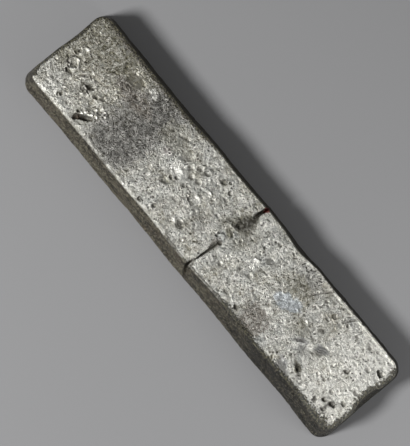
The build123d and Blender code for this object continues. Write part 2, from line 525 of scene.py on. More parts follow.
in_crack = np.abs(flat_points[:, 0] - crack_middle / mm) < crack_zone / mm
in_hollow = in_crack & (flat_points[:, 1] > hollow_start) & (flat_points[:, 1] < hollow_end)
rust = np.clip(0.55 + 1.1 * rough(0.7, 4.0) + 0.5 * rough(0.3, 6.0), 0.1, 1)
painted_shade = np.clip(depth_in / dark_depth, 0, 1)
painted_shade *= np.where(in_crack, np.where(in_hollow, 0.25 * rust, 1.0), 0.55)
stained = np.clip(depth_in / stained_depth, 0, 1)
stained *= np.where(in_crack, np.where(in_hollow, 0.6, 1.0), 0.45)
print(int(in_hollow.sum()), "points lie where the crack gapes")

# %% Painted shade where the crack gapes
# It is a wedge with no hard edge: across the bar, in mm, its middle and its half width
wedge_places = [3.2, 5.0, 7.2, 9.6]
wedge_middles = [4.9, 5.6, 6.0, 6.4]
wedge_halves = [1.1, 1.8, 1.4, 0.6]
wedge_start, wedge_end = 3.4, 9.6
wedge_fade = 0.5
black_reach, stain_reach = 1.6, 2.4    # in half widths, where the black and the stain run out
far_off = 9                            # more than any fade reaches

wedge_y = spot_points[:, 1]
aside = np.abs(spot_points[:, 0] - np.interp(wedge_y, wedge_places, wedge_middles))
aside = aside / np.interp(wedge_y, wedge_places, wedge_halves)
aside += np.clip((wedge_start - wedge_y) / wedge_fade, 0, far_off)
aside += np.clip((wedge_y - wedge_end) / wedge_fade, 0, far_off)
painted_shade = np.maximum(painted_shade, np.clip(black_reach - aside, 0, 1) * (0.6 + 0.5 * rust))
stained = np.maximum(stained, np.clip(stain_reach - aside, 0, 1) * (0.5 + 0.6 * rust))
print(int((aside < 1).sum()), "points in the wedge of dirt")

# %% Place of a spot
lee_x, lee_y = 0.39, 0.92              # the way from the lamp, as seen from above
sunk = np.zeros(len(skin_points))      # how deep the solid's holes go, in mm
sunk[first_top:first_base] = depth_in[first_top:first_base] / mm
placed = []                            # the middle of every spot so far


def spread(x, y, length, width, turn):
    """Where each point lies along and across a spot, with 1 at the spot's edge."""
    placed.append((x, y))
    away = spot_points - (x, y)
    along, across = cos(radians(turn)), sin(radians(turn))
    return (
        (away[:, 0] * along + away[:, 1] * across) / (length / 2),
        (away[:, 1] * along - away[:, 0] * across) / (width / 2),
    )


# %% Bubbles that burst, deep or shallow
lip_share, highest_lip = 0.4, 0.14     # a lip's height: of the depth, but at most so many mm
black_depth, brown_depth = 0.5, 0.6    # in mm, where a bowl is wholly black and wholly stained


def dent(x, y, length, width, turn, depth):
    """A burst bubble: a stained bowl with painted shade on the lamp's side, and a thin lip thrown up on the
    other.
    """
    u, v = spread(x, y, length, width, turn)
    r = np.hypot(u, v) * (1 + 0.15 * bowl_roughness)
    bowl = np.clip(1 - r * r, 0, 1) ** 0.7
    wall_u, wall_v = u / length, v / width
    along, across = cos(radians(turn)), sin(radians(turn))
    far_side = lee_x * (wall_u * along - wall_v * across) + lee_y * (wall_u * across + wall_v * along)
    far_side /= np.hypot(wall_u, wall_v) + 0.1 / (length * width)
    lip_round = np.exp(-(((r - 1.15) / 0.25) ** 2)) * np.clip(far_side, 0, 1)
    uneven = 1 + 0.5 * bowl_roughness
    lift[:] += lip_round * min(depth * lip_share, highest_lip) - bowl * depth * uneven
    stain = np.clip(bowl * 1.6, 0, 1) * min((depth / brown_depth) ** 2, 1)
    stain *= 0.7 + 0.5 * bowl_roughness
    stained[:] = np.maximum(stained, stain)
    shade = np.clip(bowl * (0.6 + max(depth - 0.8, 0) - 0.8 * far_side) * 1.3 * uneven, 0, 1)
    painted_shade[:] = np.maximum(painted_shade, shade * min((depth / black_depth) ** 1.5, 1))


def ring_spot(x, y, length, width, turn, height, depth):
    """A bubble that froze as it burst: a raised ring around a shallow, rough bowl, with painted shade on the
    bowl's lamp side.
    """
    u, v = spread(x, y, length, width, turn)
    r = np.hypot(u, v)
    crust = np.exp(-(((r - 0.85) / 0.22) ** 2)) * (1 + 0.6 * bowl_roughness)
    lift[:] += height * crust
    glint[:] = np.maximum(glint, crust)
    lift[:] -= depth * np.clip(1 - (r / 0.75) ** 2, 0, 1) * (1 + 0.8 * bowl_roughness)
    shade = 0.5 * np.clip(1 - (r / 0.7) ** 2, 0, 1) * np.clip(0.6 - v + bowl_roughness, 0, 1)
    painted_shade[:] = np.maximum(painted_shade, shade)


# %% Beads and wrinkles that stand proud
full_bead, full_ridge = 0.25, 0.3      # in mm: anything this high shines wholly
bead_lean = 0.4                        # how steeply a full bead rises away from the lamp


def knob(x, y, length, width, turn, height, stain=0.0):
    """A bead of metal squeezed out of the skin as it froze, with its flat side to the lamp."""
    u, v = spread(x, y, length, width, turn)
    bead = np.clip(1 - u * u - v * v, 0, 1)
    filled = np.clip(bead * 8, 0, 1)
    for hollow in (sunk, painted_shade, stained):
        hollow *= 1 - filled
    stained[:] += filled * stain
    fullness = min(height / full_bead, 1)
    glint[:] = np.maximum(glint, np.sqrt(bead) * fullness)
    away = spot_points - (x, y)
    leaning = (lee_x * away[:, 0] + lee_y * away[:, 1]) * bead_lean * fullness
    lift[:] = lift * (1 - filled) + np.sqrt(bead) * (height * (0.8 + 0.3 * bowl_roughness) + leaning)
    calm[:] = np.maximum(calm, 0.3 * bead ** 0.5)


def ridge(x, y, length, width, turn, height, bend=0.0):
    """A drawn-out wrinkle that stands proud of the skin."""
    u, v = spread(x, y, length, width, turn)
    v = v - bend * u * u * length / width
    crest = np.clip(1 - u * u, 0, 1) * np.exp(-v * v)
    lift[:] += crest * height
    glint[:] = np.maximum(glint, crest * min(height / full_ridge, 1))


# %% Folds and pools


def crease(x, y, length, width, turn, depth, bend=0.0):
    """A fold where one flow of metal lapped over another: a groove, bent, with one raised side, and painted
    shade in the groove.
    """
    u, v = spread(x, y, length, width, turn)
    v = v - bend * u * u * length / width
    along = np.clip(1 - u * u, 0, 1)
    lift[:] += along * (0.35 * np.exp(-((v - 1.3) ** 2)) - np.exp(-v * v)) * depth
    painted_shade[:] = np.maximum(painted_shade, along * np.exp(-v * v) * min(depth / 0.3, 1))


def pool(x, y, length, width, turn, strength, depth=0.0):
    """A place that froze last and stayed smooth."""
    u, v = spread(x, y, length, width, turn)
    r = np.hypot(u, v)
    inner = np.clip((1.25 - r) / 0.5, 0, 1)
    calm[:] = np.maximum(calm, inner * strength)
    for hollow in (sunk, painted_shade, stained):
        hollow *= 1 - inner
    lift[:] -= np.clip(1 - r * r, 0, 1) * depth


# %% Spots of the -X end
knob(-44.2, -9.6, 7.0, 4.0, 41, 0.0)
dent(-43.8, -9.4, 5.0, 1.3, 39, 1.3)
crease(-43.9, -9.3, 5.4, 0.7, 38, 0.5)
dent(-45.6, -11.1, 1.5, 1.2, 60, 0.9)
dent(-46.1, -9.1, 0.8, 0.5, 20, 0.6)
knob(-45.1, -8.9, 1.5, 1.0, 50, 0.32)
knob(-44.5, -7.9, 1.6, 1.2, 60, 0.38)
knob(-43.2, -7.6, 2.3, 1.2, 30, 0.4)
knob(-41.9, -6.7, 1.3, 1.0, 0, 0.34)
knob(-43.2, -6.6, 1.2, 0.8, 0, 0.32)
knob(-46.3, -10.1, 1.0, 1.0, 0, 0.25)
knob(-49.3, -2.8, 4.2, 4.0, 0, 0.0, stain=0.3)
ring_spot(-49.3, -2.7, 3.6, 3.4, 20, 0.16, 0.16)
knob(-49.9, -1.9, 2.2, 1.2, 35, 0.1, stain=0.5)
dent(-49.3, -3.1, 1.7, 1.3, 10, 0.9)
dent(-48.6, -3.9, 1.3, 0.8, 10, 0.75)
dent(-50.9, -3.3, 0.9, 0.7, 10, 0.75)
dent(-49.8, -4.1, 0.9, 0.6, 10, 0.35)
dent(-48.2, -2.4, 0.6, 1.4, -15, 0.5)
ridge(-47.8, -1.6, 2.4, 0.4, -55, 0.25)
knob(-57.0, -2.3, 4.4, 4.6, 0, 0.0)
ring_spot(-57.0, -2.0, 3.8, 3.4, 0, 0.24, 0.1)
ridge(-58.4, -1.4, 2.0, 0.5, 55, 0.15)
ridge(-57.2, -0.5, 1.8, 0.5, 0, 0.15)
ridge(-55.8, -1.4, 2.0, 0.5, -55, 0.15)
dent(-57.1, -2.3, 0.6, 0.5, 0, 0.45)
dent(-59.4, -2.1, 0.8, 0.6, 0, 0.7)
dent(-58.4, -2.7, 1.4, 0.8, -45, 0.85)
dent(-57.5, -3.5, 1.2, 0.5, -40, 0.45)
dent(-56.8, -4.4, 1.2, 0.9, -50, 0.75)
dent(-57.1, -5.1, 0.6, 0.5, 0, 0.45)
crease(-55.3, -4.7, 1.8, 0.4, 25, 0.3)
dent(-45.9, -3.1, 1.2, 0.7, 0, 0.5)
knob(-45.8, -2.4, 1.3, 0.6, 0, 0.22)
dent(-44.4, -2.0, 1.1, 1.4, 20, 0.4)
knob(-51.6, 0.4, 2.0, 0.6, -20, 0.24)
dent(-51.0, -0.8, 1.1, 0.5, 0, 0.45)
knob(-48.9, 0.6, 0.9, 0.8, 0, 0.28)
dent(-48.9, -0.1, 1.0, 0.5, 0, 0.35)
knob(-42.6, -3.9, 1.1, 1.7, 15, 0.3)
knob(-41.3, -4.3, 0.9, 1.2, 10, 0.27)
knob(-40.3, -5.0, 0.8, 1.0, 10, 0.27)
knob(-43.4, -5.5, 0.9, 0.7, 10, 0.25)
dent(-41.9, -5.3, 0.8, 0.9, 0, 0.4)
dent(-58.5, 1.6, 0.8, 1.4, 20, 0.5)
dent(-58.8, 0.4, 1.0, 0.8, 0, 0.5)
dent(-55.9, 0.4, 1.0, 0.7, 0, 0.2)
dent(-52.8, -9.8, 0.9, 0.9, 0, 0.7)
dent(-53.1, -10.7, 0.5, 0.8, -30, 0.45)
dent(-52.3, -8.2, 1.1, 0.8, 20, 0.25)
dent(-53.6, -8.5, 1.1, 0.8, 20, 0.2)
dent(-57.1, -10.5, 0.7, 0.6, 0, 0.25)
dent(-58.0, -10.5, 0.7, 0.5, 0, 0.2)
crease(-59.5, -7.2, 2.6, 0.5, -25, 0.2)
crease(-58.2, -5.8, 2.4, 0.4, -15, 0.15)
knob(-57.3, 3.3, 2.0, 1.4, 20, 0.28)
knob(-58.9, 8.9, 1.4, 0.8, 0, 0.18)
crease(-52.7, -2.0, 3.2, 0.5, 46, 0.28)
crease(-50.2, -6.1, 2.2, 0.4, -5, 0.2)
knob(-49.4, -5.6, 1.1, 0.8, 60, 0.25)
dent(-50.9, 0.1, 0.8, 0.5, 0, 0.3)
dent(-49.0, 0.9, 1.0, 0.5, 30, 0.25)
pool(-42.8, 7.8, 5.6, 4.2, 10, 0.9, 0.03)
crease(-43.1, 5.6, 3.6, 0.4, 8, 0.28)
dent(-39.0, 5.2, 1.5, 0.9, 20, 0.35)
dent(-45.1, 2.2, 0.7, 0.7, 0, 0.35)
crease(-45.5, 4.2, 2.8, 0.35, 85, 0.2)
knob(-37.2, 9.9, 1.0, 0.9, 0, 0.2)
knob(-38.0, 9.2, 1.1, 0.7, 30, 0.2)
knob(-36.3, 8.6, 0.9, 0.8, 0, 0.18)
dent(-37.7, 8.5, 0.6, 0.5, 0, 0.3)
dent(-35.9, 1.4, 0.7, 0.7, 0, 0.25)
pool(-45.0, -5.5, 5.0, 3.6, 20, 0.5, 0.1)
print(len(placed), "spots so far")

# %% Spots between the -X end and the crack
crease(-26.5, 5.0, 2.2, 0.45, 25, 0.22)
crease(-22.6, 7.9, 2.6, 0.45, 15, 0.25)
crease(-24.3, 6.1, 1.8, 0.4, 60, 0.2)
crease(-21.1, 3.3, 2.2, 0.45, -50, 0.28)
crease(-23.5, 3.6, 1.7, 0.4, 100, 0.2)
knob(-16.8, 1.3, 3.9, 2.7, -15, 0.1)
knob(-15.7, 5.4, 1.2, 0.9, 0, 0.2)
knob(-11.2, 4.6, 1.2, 0.9, 20, 0.2)
knob(-13.6, 4.4, 0.9, 0.8, 0, 0.18)
knob(-9.6, 6.1, 1.0, 0.8, 0, 0.16)
dent(-15.5, -0.3, 1.3, 0.8, 35, 0.45)
dent(-16.6, -1.5, 1.3, 0.8, -10, 0.5)
pool(-17.3, -3.3, 2.6, 1.7, 0, 0.8, 0.12)
dent(-13.4, 6.2, 1.6, 1.6, 0, 0.35)
dent(-15.2, 4.3, 1.6, 1.4, 40, 0.35)
dent(-13.3, 2.8, 1.7, 1.6, 0, 0.35)
dent(-11.1, 3.4, 1.6, 1.5, 0, 0.35)
dent(-11.3, 6.8, 1.7, 1.6, 0, 0.4)
dent(-16.7, 8.4, 1.2, 1.2, 0, 0.2)
dent(-6.7, 8.5, 1.9, 1.1, 35, 0.4)
dent(-3.2, 8.3, 1.6, 0.9, -25, 0.4)
dent(-2.6, 6.1, 1.3, 1.1, 0, 0.3)
knob(-6.5, 3.8, 1.7, 1.3, -50, 0.26)
knob(-8.0, 0.6, 2.2, 1.4, 30, 0.18)
dent(-4.9, 3.4, 1.3, 1.1, 0, 0.25)
dent(-0.9, 1.8, 1.2, 0.8, 0, 0.35)
dent(-12.8, 0.1, 0.9, 0.9, 0, 0.3)
dent(-12.0, 0.6, 0.8, 0.7, 0, 0.25)
dent(-11.1, 0.2, 0.9, 0.8, 0, 0.3)
dent(-10.5, -0.5, 0.9, 0.8, 0, 0.3)
dent(-10.1, -1.2, 0.9, 0.7, 0, 0.3)
dent(-8.9, -1.4, 1.6, 0.9, -10, 0.45)
ridge(-11.5, -3.2, 2.4, 0.45, 0, 0.15, bend=-0.25)
crease(-11.5, -4.6, 2.0, 0.5, 0, 0.25, bend=0.3)
ridge(-20.9, -3.2, 2.4, 0.45, -70, 0.2, bend=0.2)
dent(-17.7, -11.8, 0.7, 1.2, 10, 0.6)
dent(-13.6, -9.9, 1.1, 1.5, -20, 0.35)
dent(-7.9, -3.5, 0.9, 0.8, 0, 0.25)
dent(-5.3, -7.5, 3.0, 1.6, -15, 0.4)
knob(-7.2, -8.0, 1.6, 0.8, -55, 0.25)
dent(-1.9, -10.0, 1.1, 0.8, 0, 0.3)
ridge(-9.4, -4.9, 2.2, 0.45, -60, 0.18)
ridge(-3.0, -5.5, 2.6, 0.5, -50, 0.15)
pool(-18.4, 5.5, 4.2, 3.2, 70, 0.7, 0.1)
pool(-4.5, -1.2, 4.4, 4.0, 0, 0.5, 0.08)
print(len(placed), "spots so far")

# %% Spots around the crack
dent(5.6, 6.0, 5.4, 2.0, 72, 0.25)
dent(6.5, 7.8, 2.2, 0.8, 80, 0.4)
dent(5.2, 4.6, 1.6, 1.2, 60, 0.3)
dent(4.3, 6.9, 0.8, 0.6, 0, 0.4)
dent(7.6, 5.0, 0.9, 0.7, 0, 0.3)
dent(4.9, 4.3, 1.6, 1.1, 20, 0.28)
dent(4.2, 5.0, 0.9, 0.7, 0, 0.35)
dent(3.6, 6.0, 0.9, 0.6, 0, 0.3)
dent(3.9, 3.6, 1.0, 0.7, 0, 0.35)
ridge(3.8, 2.8, 4.2, 0.8, 4, 0.3, bend=-0.22)
dent(5.4, 1.2, 1.6, 1.1, 10, 0.45)
knob(4.2, -1.2, 2.7, 2.5, 0, 0.2)
dent(4.3, -1.4, 0.8, 0.6, 0, 0.35)
crease(2.9, -1.1, 2.2, 0.45, 80, 0.4)
dent(3.0, -0.7, 0.6, 0.8, 0, 0.5)
dent(3.1, -1.9, 0.6, 0.5, 0, 0.5)
dent(5.2, -2.6, 1.5, 0.9, 30, 0.5)
knob(5.0, 0.9, 2.0, 1.3, -30, 0.15, stain=0.6)
crease(5.5, -0.6, 1.8, 0.4, 100, 0.25, bend=-0.2)
crease(4.4, -4.6, 3.6, 0.45, 88, 0.3)
dent(4.4, 11.1, 0.7, 0.7, 0, 0.5)
crease(1.5, 5.7, 3.0, 0.5, 20, 0.25)
crease(2.2, 3.6, 2.6, 0.5, 35, 0.25)
dent(8.4, 2.2, 1.2, 1.0, 30, 0.3)
dent(7.4, 0.8, 1.1, 0.8, 0, 0.3)
dent(9.8, 5.0, 1.0, 0.8, 0, 0.28)
dent(8.0, 4.4, 0.9, 0.7, 0, 0.3)
dent(8.7, 6.1, 1.0, 0.8, 0, 0.3)
print(len(placed), "spots so far")

# %% Spots between the crack and the +X end
dent(11.4, 9.0, 1.0, 0.7, 0, 0.4)
dent(15.9, 9.8, 1.5, 1.2, 0, 0.35)
dent(14.3, 8.4, 1.4, 1.1, 0, 0.2)
dent(20.4, 10.9, 1.0, 0.8, 0, 0.4)
dent(20.8, 8.2, 0.8, 0.7, 0, 0.3)
knob(15.2, 1.9, 2.4, 1.9, 40, 0.18)
pool(17.8, 4.9, 2.6, 2.0, 30, 0.7, 0.1)
crease(13.9, -2.7, 1.5, 0.6, 30, 0.28)
dent(17.1, -2.0, 1.4, 1.3, 0, 0.3)
dent(9.4, -6.0, 1.5, 1.4, 0, 0.35)
dent(9.0, -3.9, 1.2, 1.0, 0, 0.25)
dent(16.3, -9.5, 2.0, 1.1, -10, 0.35)
dent(21.1, -10.2, 1.4, 0.9, 0, 0.75)
ridge(18.8, -9.5, 2.8, 0.4, -30, 0.2)
ridge(7.3, -7.5, 2.4, 0.4, -50, 0.15)
ridge(13.8, 5.1, 3.2, 0.45, -25, 0.15)
pool(29.0, 1.2, 7.2, 4.6, 25, 0.55, 0.05)
knob(26.1, -4.9, 1.1, 0.8, 20, 0.25)
knob(27.7, -4.5, 1.3, 0.9, 10, 0.28)
knob(28.8, -4.0, 1.0, 0.8, 0, 0.22)
dent(35.5, 9.6, 1.3, 1.0, 20, 0.35)
dent(36.7, 9.2, 1.0, 0.8, 0, 0.3)
dent(39.3, 6.7, 1.2, 0.8, 0, 0.35)
dent(44.1, 9.8, 1.3, 0.8, 0, 0.3)
dent(42.7, 8.2, 1.9, 1.4, 0, 0.25)
dent(48.1, 9.9, 1.2, 0.9, 0, 0.4)
crease(52.2, 10.6, 2.6, 0.7, -25, 0.3)
dent(55.0, 11.7, 1.1, 0.8, 40, 0.35)
dent(56.0, 9.3, 1.0, 1.1, 0, 0.3)
dent(54.2, 7.7, 2.2, 0.9, 15, 0.25)
dent(59.4, 8.0, 2.0, 0.9, -5, 0.8)
dent(58.8, 8.2, 0.9, 0.6, 0, 0.6)
dent(56.7, 6.3, 1.5, 1.3, 60, 0.35)
crease(40.7, 3.5, 2.2, 0.8, 45, 0.35)
dent(45.9, 4.5, 1.6, 1.1, 0, 0.2)
knob(36.2, 1.9, 1.3, 0.8, -20, 0.25)
dent(37.6, 2.0, 0.8, 0.7, 0, 0.35)
crease(41.1, 0.2, 3.0, 0.5, -12, 0.28, bend=0.12)
pool(44.7, 0.1, 4.0, 2.6, 30, 0.9, 0.0)
crease(44.4, -0.6, 3.4, 0.35, 26, 0.12)
crease(44.9, 0.3, 3.0, 0.35, 26, 0.12)
crease(44.5, -1.3, 3.6, 0.5, 26, 0.22)
crease(43.7, -2.2, 2.4, 0.5, 12, 0.3, bend=-0.1)
crease(38.8, -2.6, 3.4, 0.6, 38, 0.3)
pool(41.5, -3.4, 4.0, 3.0, 20, 0.7, 0.1)
dent(50.7, 1.5, 1.0, 0.8, 0, 0.35)
dent(53.4, 1.6, 2.0, 0.9, 20, 0.5)
knob(52.3, 1.6, 0.9, 0.7, 0, 0.2)
dent(59.4, 0.0, 2.2, 1.3, 0, 0.35)
dent(53.2, 4.7, 1.4, 1.0, 0, 0.2)
dent(50.0, -4.1, 0.8, 0.8, 0, 0.4)
dent(51.1, -4.4, 0.8, 0.8, 0, 0.4)
dent(51.8, -3.1, 0.8, 0.9, 0, 0.3)
dent(50.2, -1.9, 1.6, 0.9, 0, 0.2)
dent(48.8, -4.8, 1.1, 1.0, 0, 0.25)
dent(54.7, -5.0, 1.4, 1.1, 0, 0.35)
dent(59.0, -4.6, 1.3, 1.3, 0, 0.35)
crease(43.4, -7.5, 1.8, 0.8, 25, 0.4)
dent(44.7, -8.2, 1.5, 0.9, -30, 0.7)
knob(44.3, -7.2, 1.1, 0.8, 0, 0.25)
crease(45.9, -9.3, 1.6, 0.5, 20, 0.25)
dent(48.9, -6.8, 0.8, 0.7, 0, 0.3)
knob(56.4, -8.0, 7.0, 5.8, 0, 0.0)
dent(55.1, -7.9, 1.3, 1.1, 20, 0.8)
dent(53.3, -9.2, 1.5, 1.2, -40, 0.4)
crease(57.2, -7.1, 3.0, 0.65, 10, 0.7)
dent(57.2, -6.8, 1.1, 0.9, 0, 0.9)
dent(58.2, -6.9, 0.7, 0.6, 0, 0.6)
crease(56.9, -8.6, 3.6, 0.65, 88, 0.65)
dent(56.8, -9.8, 1.1, 0.8, 10, 0.8)
knob(56.1, -6.5, 0.7, 0.5, 0, 0.2)
dent(47.8, -10.0, 1.2, 0.9, 60, 0.35)
dent(48.4, -11.7, 1.1, 0.9, 0, 0.4)
ridge(42.1, -8.8, 7.0, 0.6, -36, 0.18)
pool(41.1, -10.7, 5.2, 2.4, -20, 0.8, 0.02)
print(len(placed), "spots so far")

# %% Lift the skin by its spots
edge_fade = 0.6                        # share of the rim's round over which spots fade away
sharp_edge = np.clip(flank / edge_fade, 0, 1)
filling = np.zeros(len(skin_points))
filling[first_top:first_base] = depth_in[first_top:first_base] - sunk[first_top:first_base] * mm
skin_points[:, 2] += np.where(on_top, lift * (1 - sharp_edge), 0) * mm + filling
painted_shade[:first_top] = np.maximum(painted_shade * (1 - sharp_edge), np.clip(depth_in / dark_depth, 0, 1))[:first_top]
print("Spots reach from", round(float(lift.min()), 2), "to", round(float(lift.max()), 2), "mm")

# %% [markdown]
# Handling keeps parts of the rim bright, and that bright rim is partly a painted highlight too.
# Elsewhere the crust of the side has eaten into the top.
# Both could be painted as stains, but they follow the rim closely. So every point of the top looks
# up the nearest point of the rim, and takes its wear from a short list of places along the bar.

# %% Wear and painted highlight along the rim
# By places along the bar, in mm: how bright the rim is painted, as wear and as painted highlight,
# and how wide it is eaten away
near_places = [-62, -60, -50, -20, -12, 0, 9, 11, 16, 18, 28, 36, 52, 60]
near_wear_and_highlight = [0.4, 0.45, 0.45, 0.45, 0.4, 0.4, 0.3, 0.6, 0.4, 0.0, 0.0, 0.0, 0.0, 0.0]
near_eaten = [0.0, 0.0, 0.0, 0.0, 0.0, 0.1, 0.2, 0.2, 0.5, 0.8, 1.0, 0.6, 1.1, 2.8]
far_places = [-62, -18, -12, 20, 24, 30, 33, 40, 60, 62]
far_wear_and_highlight = [0.0, 0.0, 0.0, 0.2, 0.9, 0.9, 0.7, 1.2, 1.2, 0.7]
far_eaten = [1.1, 0.9, 0.3, 0.3, 0.1, 0.1, 0.3, 0.0, 0.0, 0.0]
left_eaten, right_eaten = 0.7, 1.2     # at the two ends, in mm
on_a_side = 0.7                        # how squarely an edge faces across the bar
wear_and_highlight_patch = 1.6 * mm                  # wear comes and goes along the rim, in patches of this length
brightest_patch = 1.3

edge_x = cores[:, 0] / mm
on_near, on_far = facing < -on_a_side, facing > on_a_side
patchy_walk = np.array([noise.noise(Vector((walked / wear_and_highlight_patch, 5, 0))) for walked in walks])
edge_wear_and_highlight = np.where(on_near, np.interp(edge_x, near_places, near_wear_and_highlight), 0)
edge_wear_and_highlight = np.where(on_far, np.interp(edge_x, far_places, far_wear_and_highlight), edge_wear_and_highlight)
edge_wear_and_highlight *= np.clip(1 + patchy_walk, 0, brightest_patch)
edge_eaten = np.where(edge_x < 0, left_eaten, right_eaten)
edge_eaten = np.where(on_near, np.interp(edge_x, near_places, near_eaten), edge_eaten)
edge_eaten = np.where(on_far, np.interp(edge_x, far_places, far_eaten), edge_eaten)
print("The rim is eaten away by up to", round(float(edge_eaten.max()), 1), "mm")

# %% Carry the wear and painted highlight inwards from the rim
near_fade, far_fade = 0.5, 0.7         # how far in the bright rim fades, in mm
whole_wear_and_highlight = 1.3                       # wholly bright, with some to spare
unbitten = 0.01                        # stands for no bite, since a share of nothing has no value
deep_bite = 1.5                        # wholly eaten, with some to spare for a ragged edge
slight_bite = 0.05                     # in mm: the rim's round is eaten where a bite is wider
round_worn_and_lit, round_fade = 0.75, 0.4     # shares of the rim's round, where the wear ends and fades
lip_height, lip_inset, lip_width = 0.16, 0.35, 0.22  # of the lip along the far rim, in mm

edge_tree = KDTree(len(walks))
for index, (x, y) in enumerate(top_border):
    edge_tree.insert((x, y, 0), index)
edge_tree.balance()
rim_wear_and_highlight = np.zeros(len(skin_points))
eaten = np.zeros(len(skin_points))
for number in range(first_top, first_base):
    x, y = skin_points[number, :2]
    index, distance = edge_tree.find((x, y, 0))[1:]
    inwards_by = distance / mm
    fade = far_fade if on_far[index] else near_fade
    rim_wear_and_highlight[number] = edge_wear_and_highlight[index] * np.clip(whole_wear_and_highlight - inwards_by / fade, 0, 1)
    eaten[number] = np.clip(deep_bite - inwards_by / max(edge_eaten[index], unbitten), 0, deep_bite)
    if on_far[index] and edge_wear_and_highlight[index] > 0:
        lip = lip_height * edge_wear_and_highlight[index]
        skin_points[number, 2] += lip * np.exp(-((inwards_by - lip_inset) / lip_width) ** 2) * mm
ring_flank = flank[:first_top].reshape(len(levels), -1)
rim_wear_and_highlight[:first_top] = (edge_wear_and_highlight * np.clip((round_worn_and_lit - ring_flank) / round_fade, 0, 1)).reshape(-1)
eaten[:first_top] = np.tile(np.where(edge_eaten > slight_bite, deep_bite, 0), len(levels))
eaten[:first_top] *= np.clip(2 - flank[:first_top] * 2, 0, 1)
rim_wear_and_highlight *= np.clip(1 - painted_shade, 0, 1)
print(int((eaten > 1).sum()), "points of the rim are eaten away")

# %% The skin as a mesh


def plain_mesh(name, points, faces, values):
    """A mesh object of points and faces, with named values at its points."""
    mesh = bpy.data.meshes.new(name)
    mesh.from_pydata(points.tolist(), [], faces)
    for label, numbers in values.items():
        mesh.attributes.new(label, "FLOAT", "POINT").data.foreach_set("value", numbers.astype(np.float32))
    mesh.shade_smooth()
    made = bpy.data.objects.new(name, mesh)
    bpy.context.scene.collection.objects.link(made)
    return made


point_values = {
    "flank": flank, "calm": calm, "painted_shade": painted_shade, "stained": stained, "glint": glint,
    "rim_wear_and_highlight": rim_wear_and_highlight, "eaten": eaten,
}
ingot_skin = plain_mesh("ingot_skin", skin_points, skin_faces, point_values)
print("ingot_skin keeps at its points:", ", ".join(point_values))

# %% [markdown]
# The rest of the relief is too much to place by hand: long swells, the wormy grain of the frozen
# surface, and hundreds of small gas pits. A tree of Geometry Nodes makes it, so that each has
# a size to turn. Every part of it presses the skin inwards only, so the bar stays in its box.

# %% Helpers for the relief


def wormy(tree, size, wander, place):
    """Ridges that wind like worms, from 0 in the valleys to 1 on the crests."""
    winding = node(tree, "ShaderNodeTexNoise", {
        "Vector": place, "Scale": maths(tree, "DIVIDE", 1.0, size), "Detail": 2.0, "Distortion": wander,
    }).outputs[0]
    folded = maths(tree, "ABSOLUTE", maths(tree, "MULTIPLY_ADD", winding, 4.0, -2.0))
    return maths(tree, "SUBTRACT", 1.0, folded, clamp=True)


def named(tree, label):
    """A value kept at the points of the mesh."""
    return node(tree, "GeometryNodeInputNamedAttribute", {"Name": label}, data_type="FLOAT").outputs[0]


# %% Inputs of the relief
relief, given, result = new_group("frozen_relief", "GeometryNodeTree", [
    ("Geometry", "Geometry"),
    ("Swell Height", "Float", 0.30 * mm),
    ("Swell Size", "Float", 4.5 * mm),
    ("Dimple Height", "Float", 0.12 * mm),
    ("Dimple Size", "Float", 2.3 * mm),
    ("Grain Height", "Float", 0.15 * mm),
    ("Grain Size", "Float", 1.15 * mm),
    ("Pit Gap", "Float", 1.0 * mm),
    ("Pit Radius", "Float", 0.5 * mm),
    ("Pit Depth", "Float", 0.3 * mm),
    ("Pit Share", "Float", 0.6),
    ("Seed", "Int", 7),
    ("Material", "Material"),
], [("Geometry", "Geometry")])

position = node(relief, "GeometryNodeInputPosition").outputs[0]
roughly = maths(relief, "SUBTRACT", 1.0, named(relief, "calm"))
on_flank = named(relief, "flank")
# The sides were dragged along the mould, so their grain is stretched along the bar
flank_stretch = 0.35
stretch = node(relief, "ShaderNodeCombineXYZ", {
    0: maths(relief, "MULTIPLY_ADD", on_flank, -flank_stretch, 1.0), 1: 1.0, 2: 1.0,
}).outputs[0]
stretched = vectors(relief, "MULTIPLY", position, stretch)
print("Inputs of the relief:", ", ".join(socket.name for socket in given if socket.name))

# %% Swells and dimples
drift_reach = 2.6 * mm
swell = node(relief, "ShaderNodeTexNoise", {
    "Scale": maths(relief, "DIVIDE", 1.0, given["Swell Size"]), "Detail": 2.0, "Vector": position,
}).outputs[0]
swell_in = maths(relief, "MULTIPLY", maths(relief, "SUBTRACT", 1.0, swell), given["Swell Height"])
drift = node(relief, "ShaderNodeTexNoise", {
    "Scale": maths(relief, "DIVIDE", 0.8, given["Dimple Size"]), "Detail": 2.0, "Vector": position,
}).outputs[1]
drifted = vectors(relief, "MULTIPLY_ADD", vectors(relief, "SUBTRACT", drift, (0.5, 0.5, 0.5)),
                  (drift_reach, drift_reach, drift_reach), stretched)
dimple = node(relief, "ShaderNodeTexVoronoi", {
    "Vector": drifted, "Scale": maths(relief, "DIVIDE", 1.0, given["Dimple Size"]), "Smoothness": 0.6,
}, feature="SMOOTH_F1").outputs["Distance"]
dimpled = maths(relief, "SUBTRACT", 1.0, dimple, clamp=True)
dimple_in = maths(relief, "MULTIPLY", dimpled, given["Dimple Height"])

# %% Grain of the frozen metal
grain = wormy(relief, given["Grain Size"], 1.0, stretched)
# Where the skin is calm the grain fades to its own middle level, so that no step shows
grain_level = 0.45
valleys = maths(relief, "MULTIPLY_ADD", grain, -1.0, 1 - grain_level)
faded_valleys = maths(relief, "MULTIPLY_ADD", valleys, roughly, grain_level)
grain_in = maths(relief, "MULTIPLY", faded_valleys, given["Grain Height"])

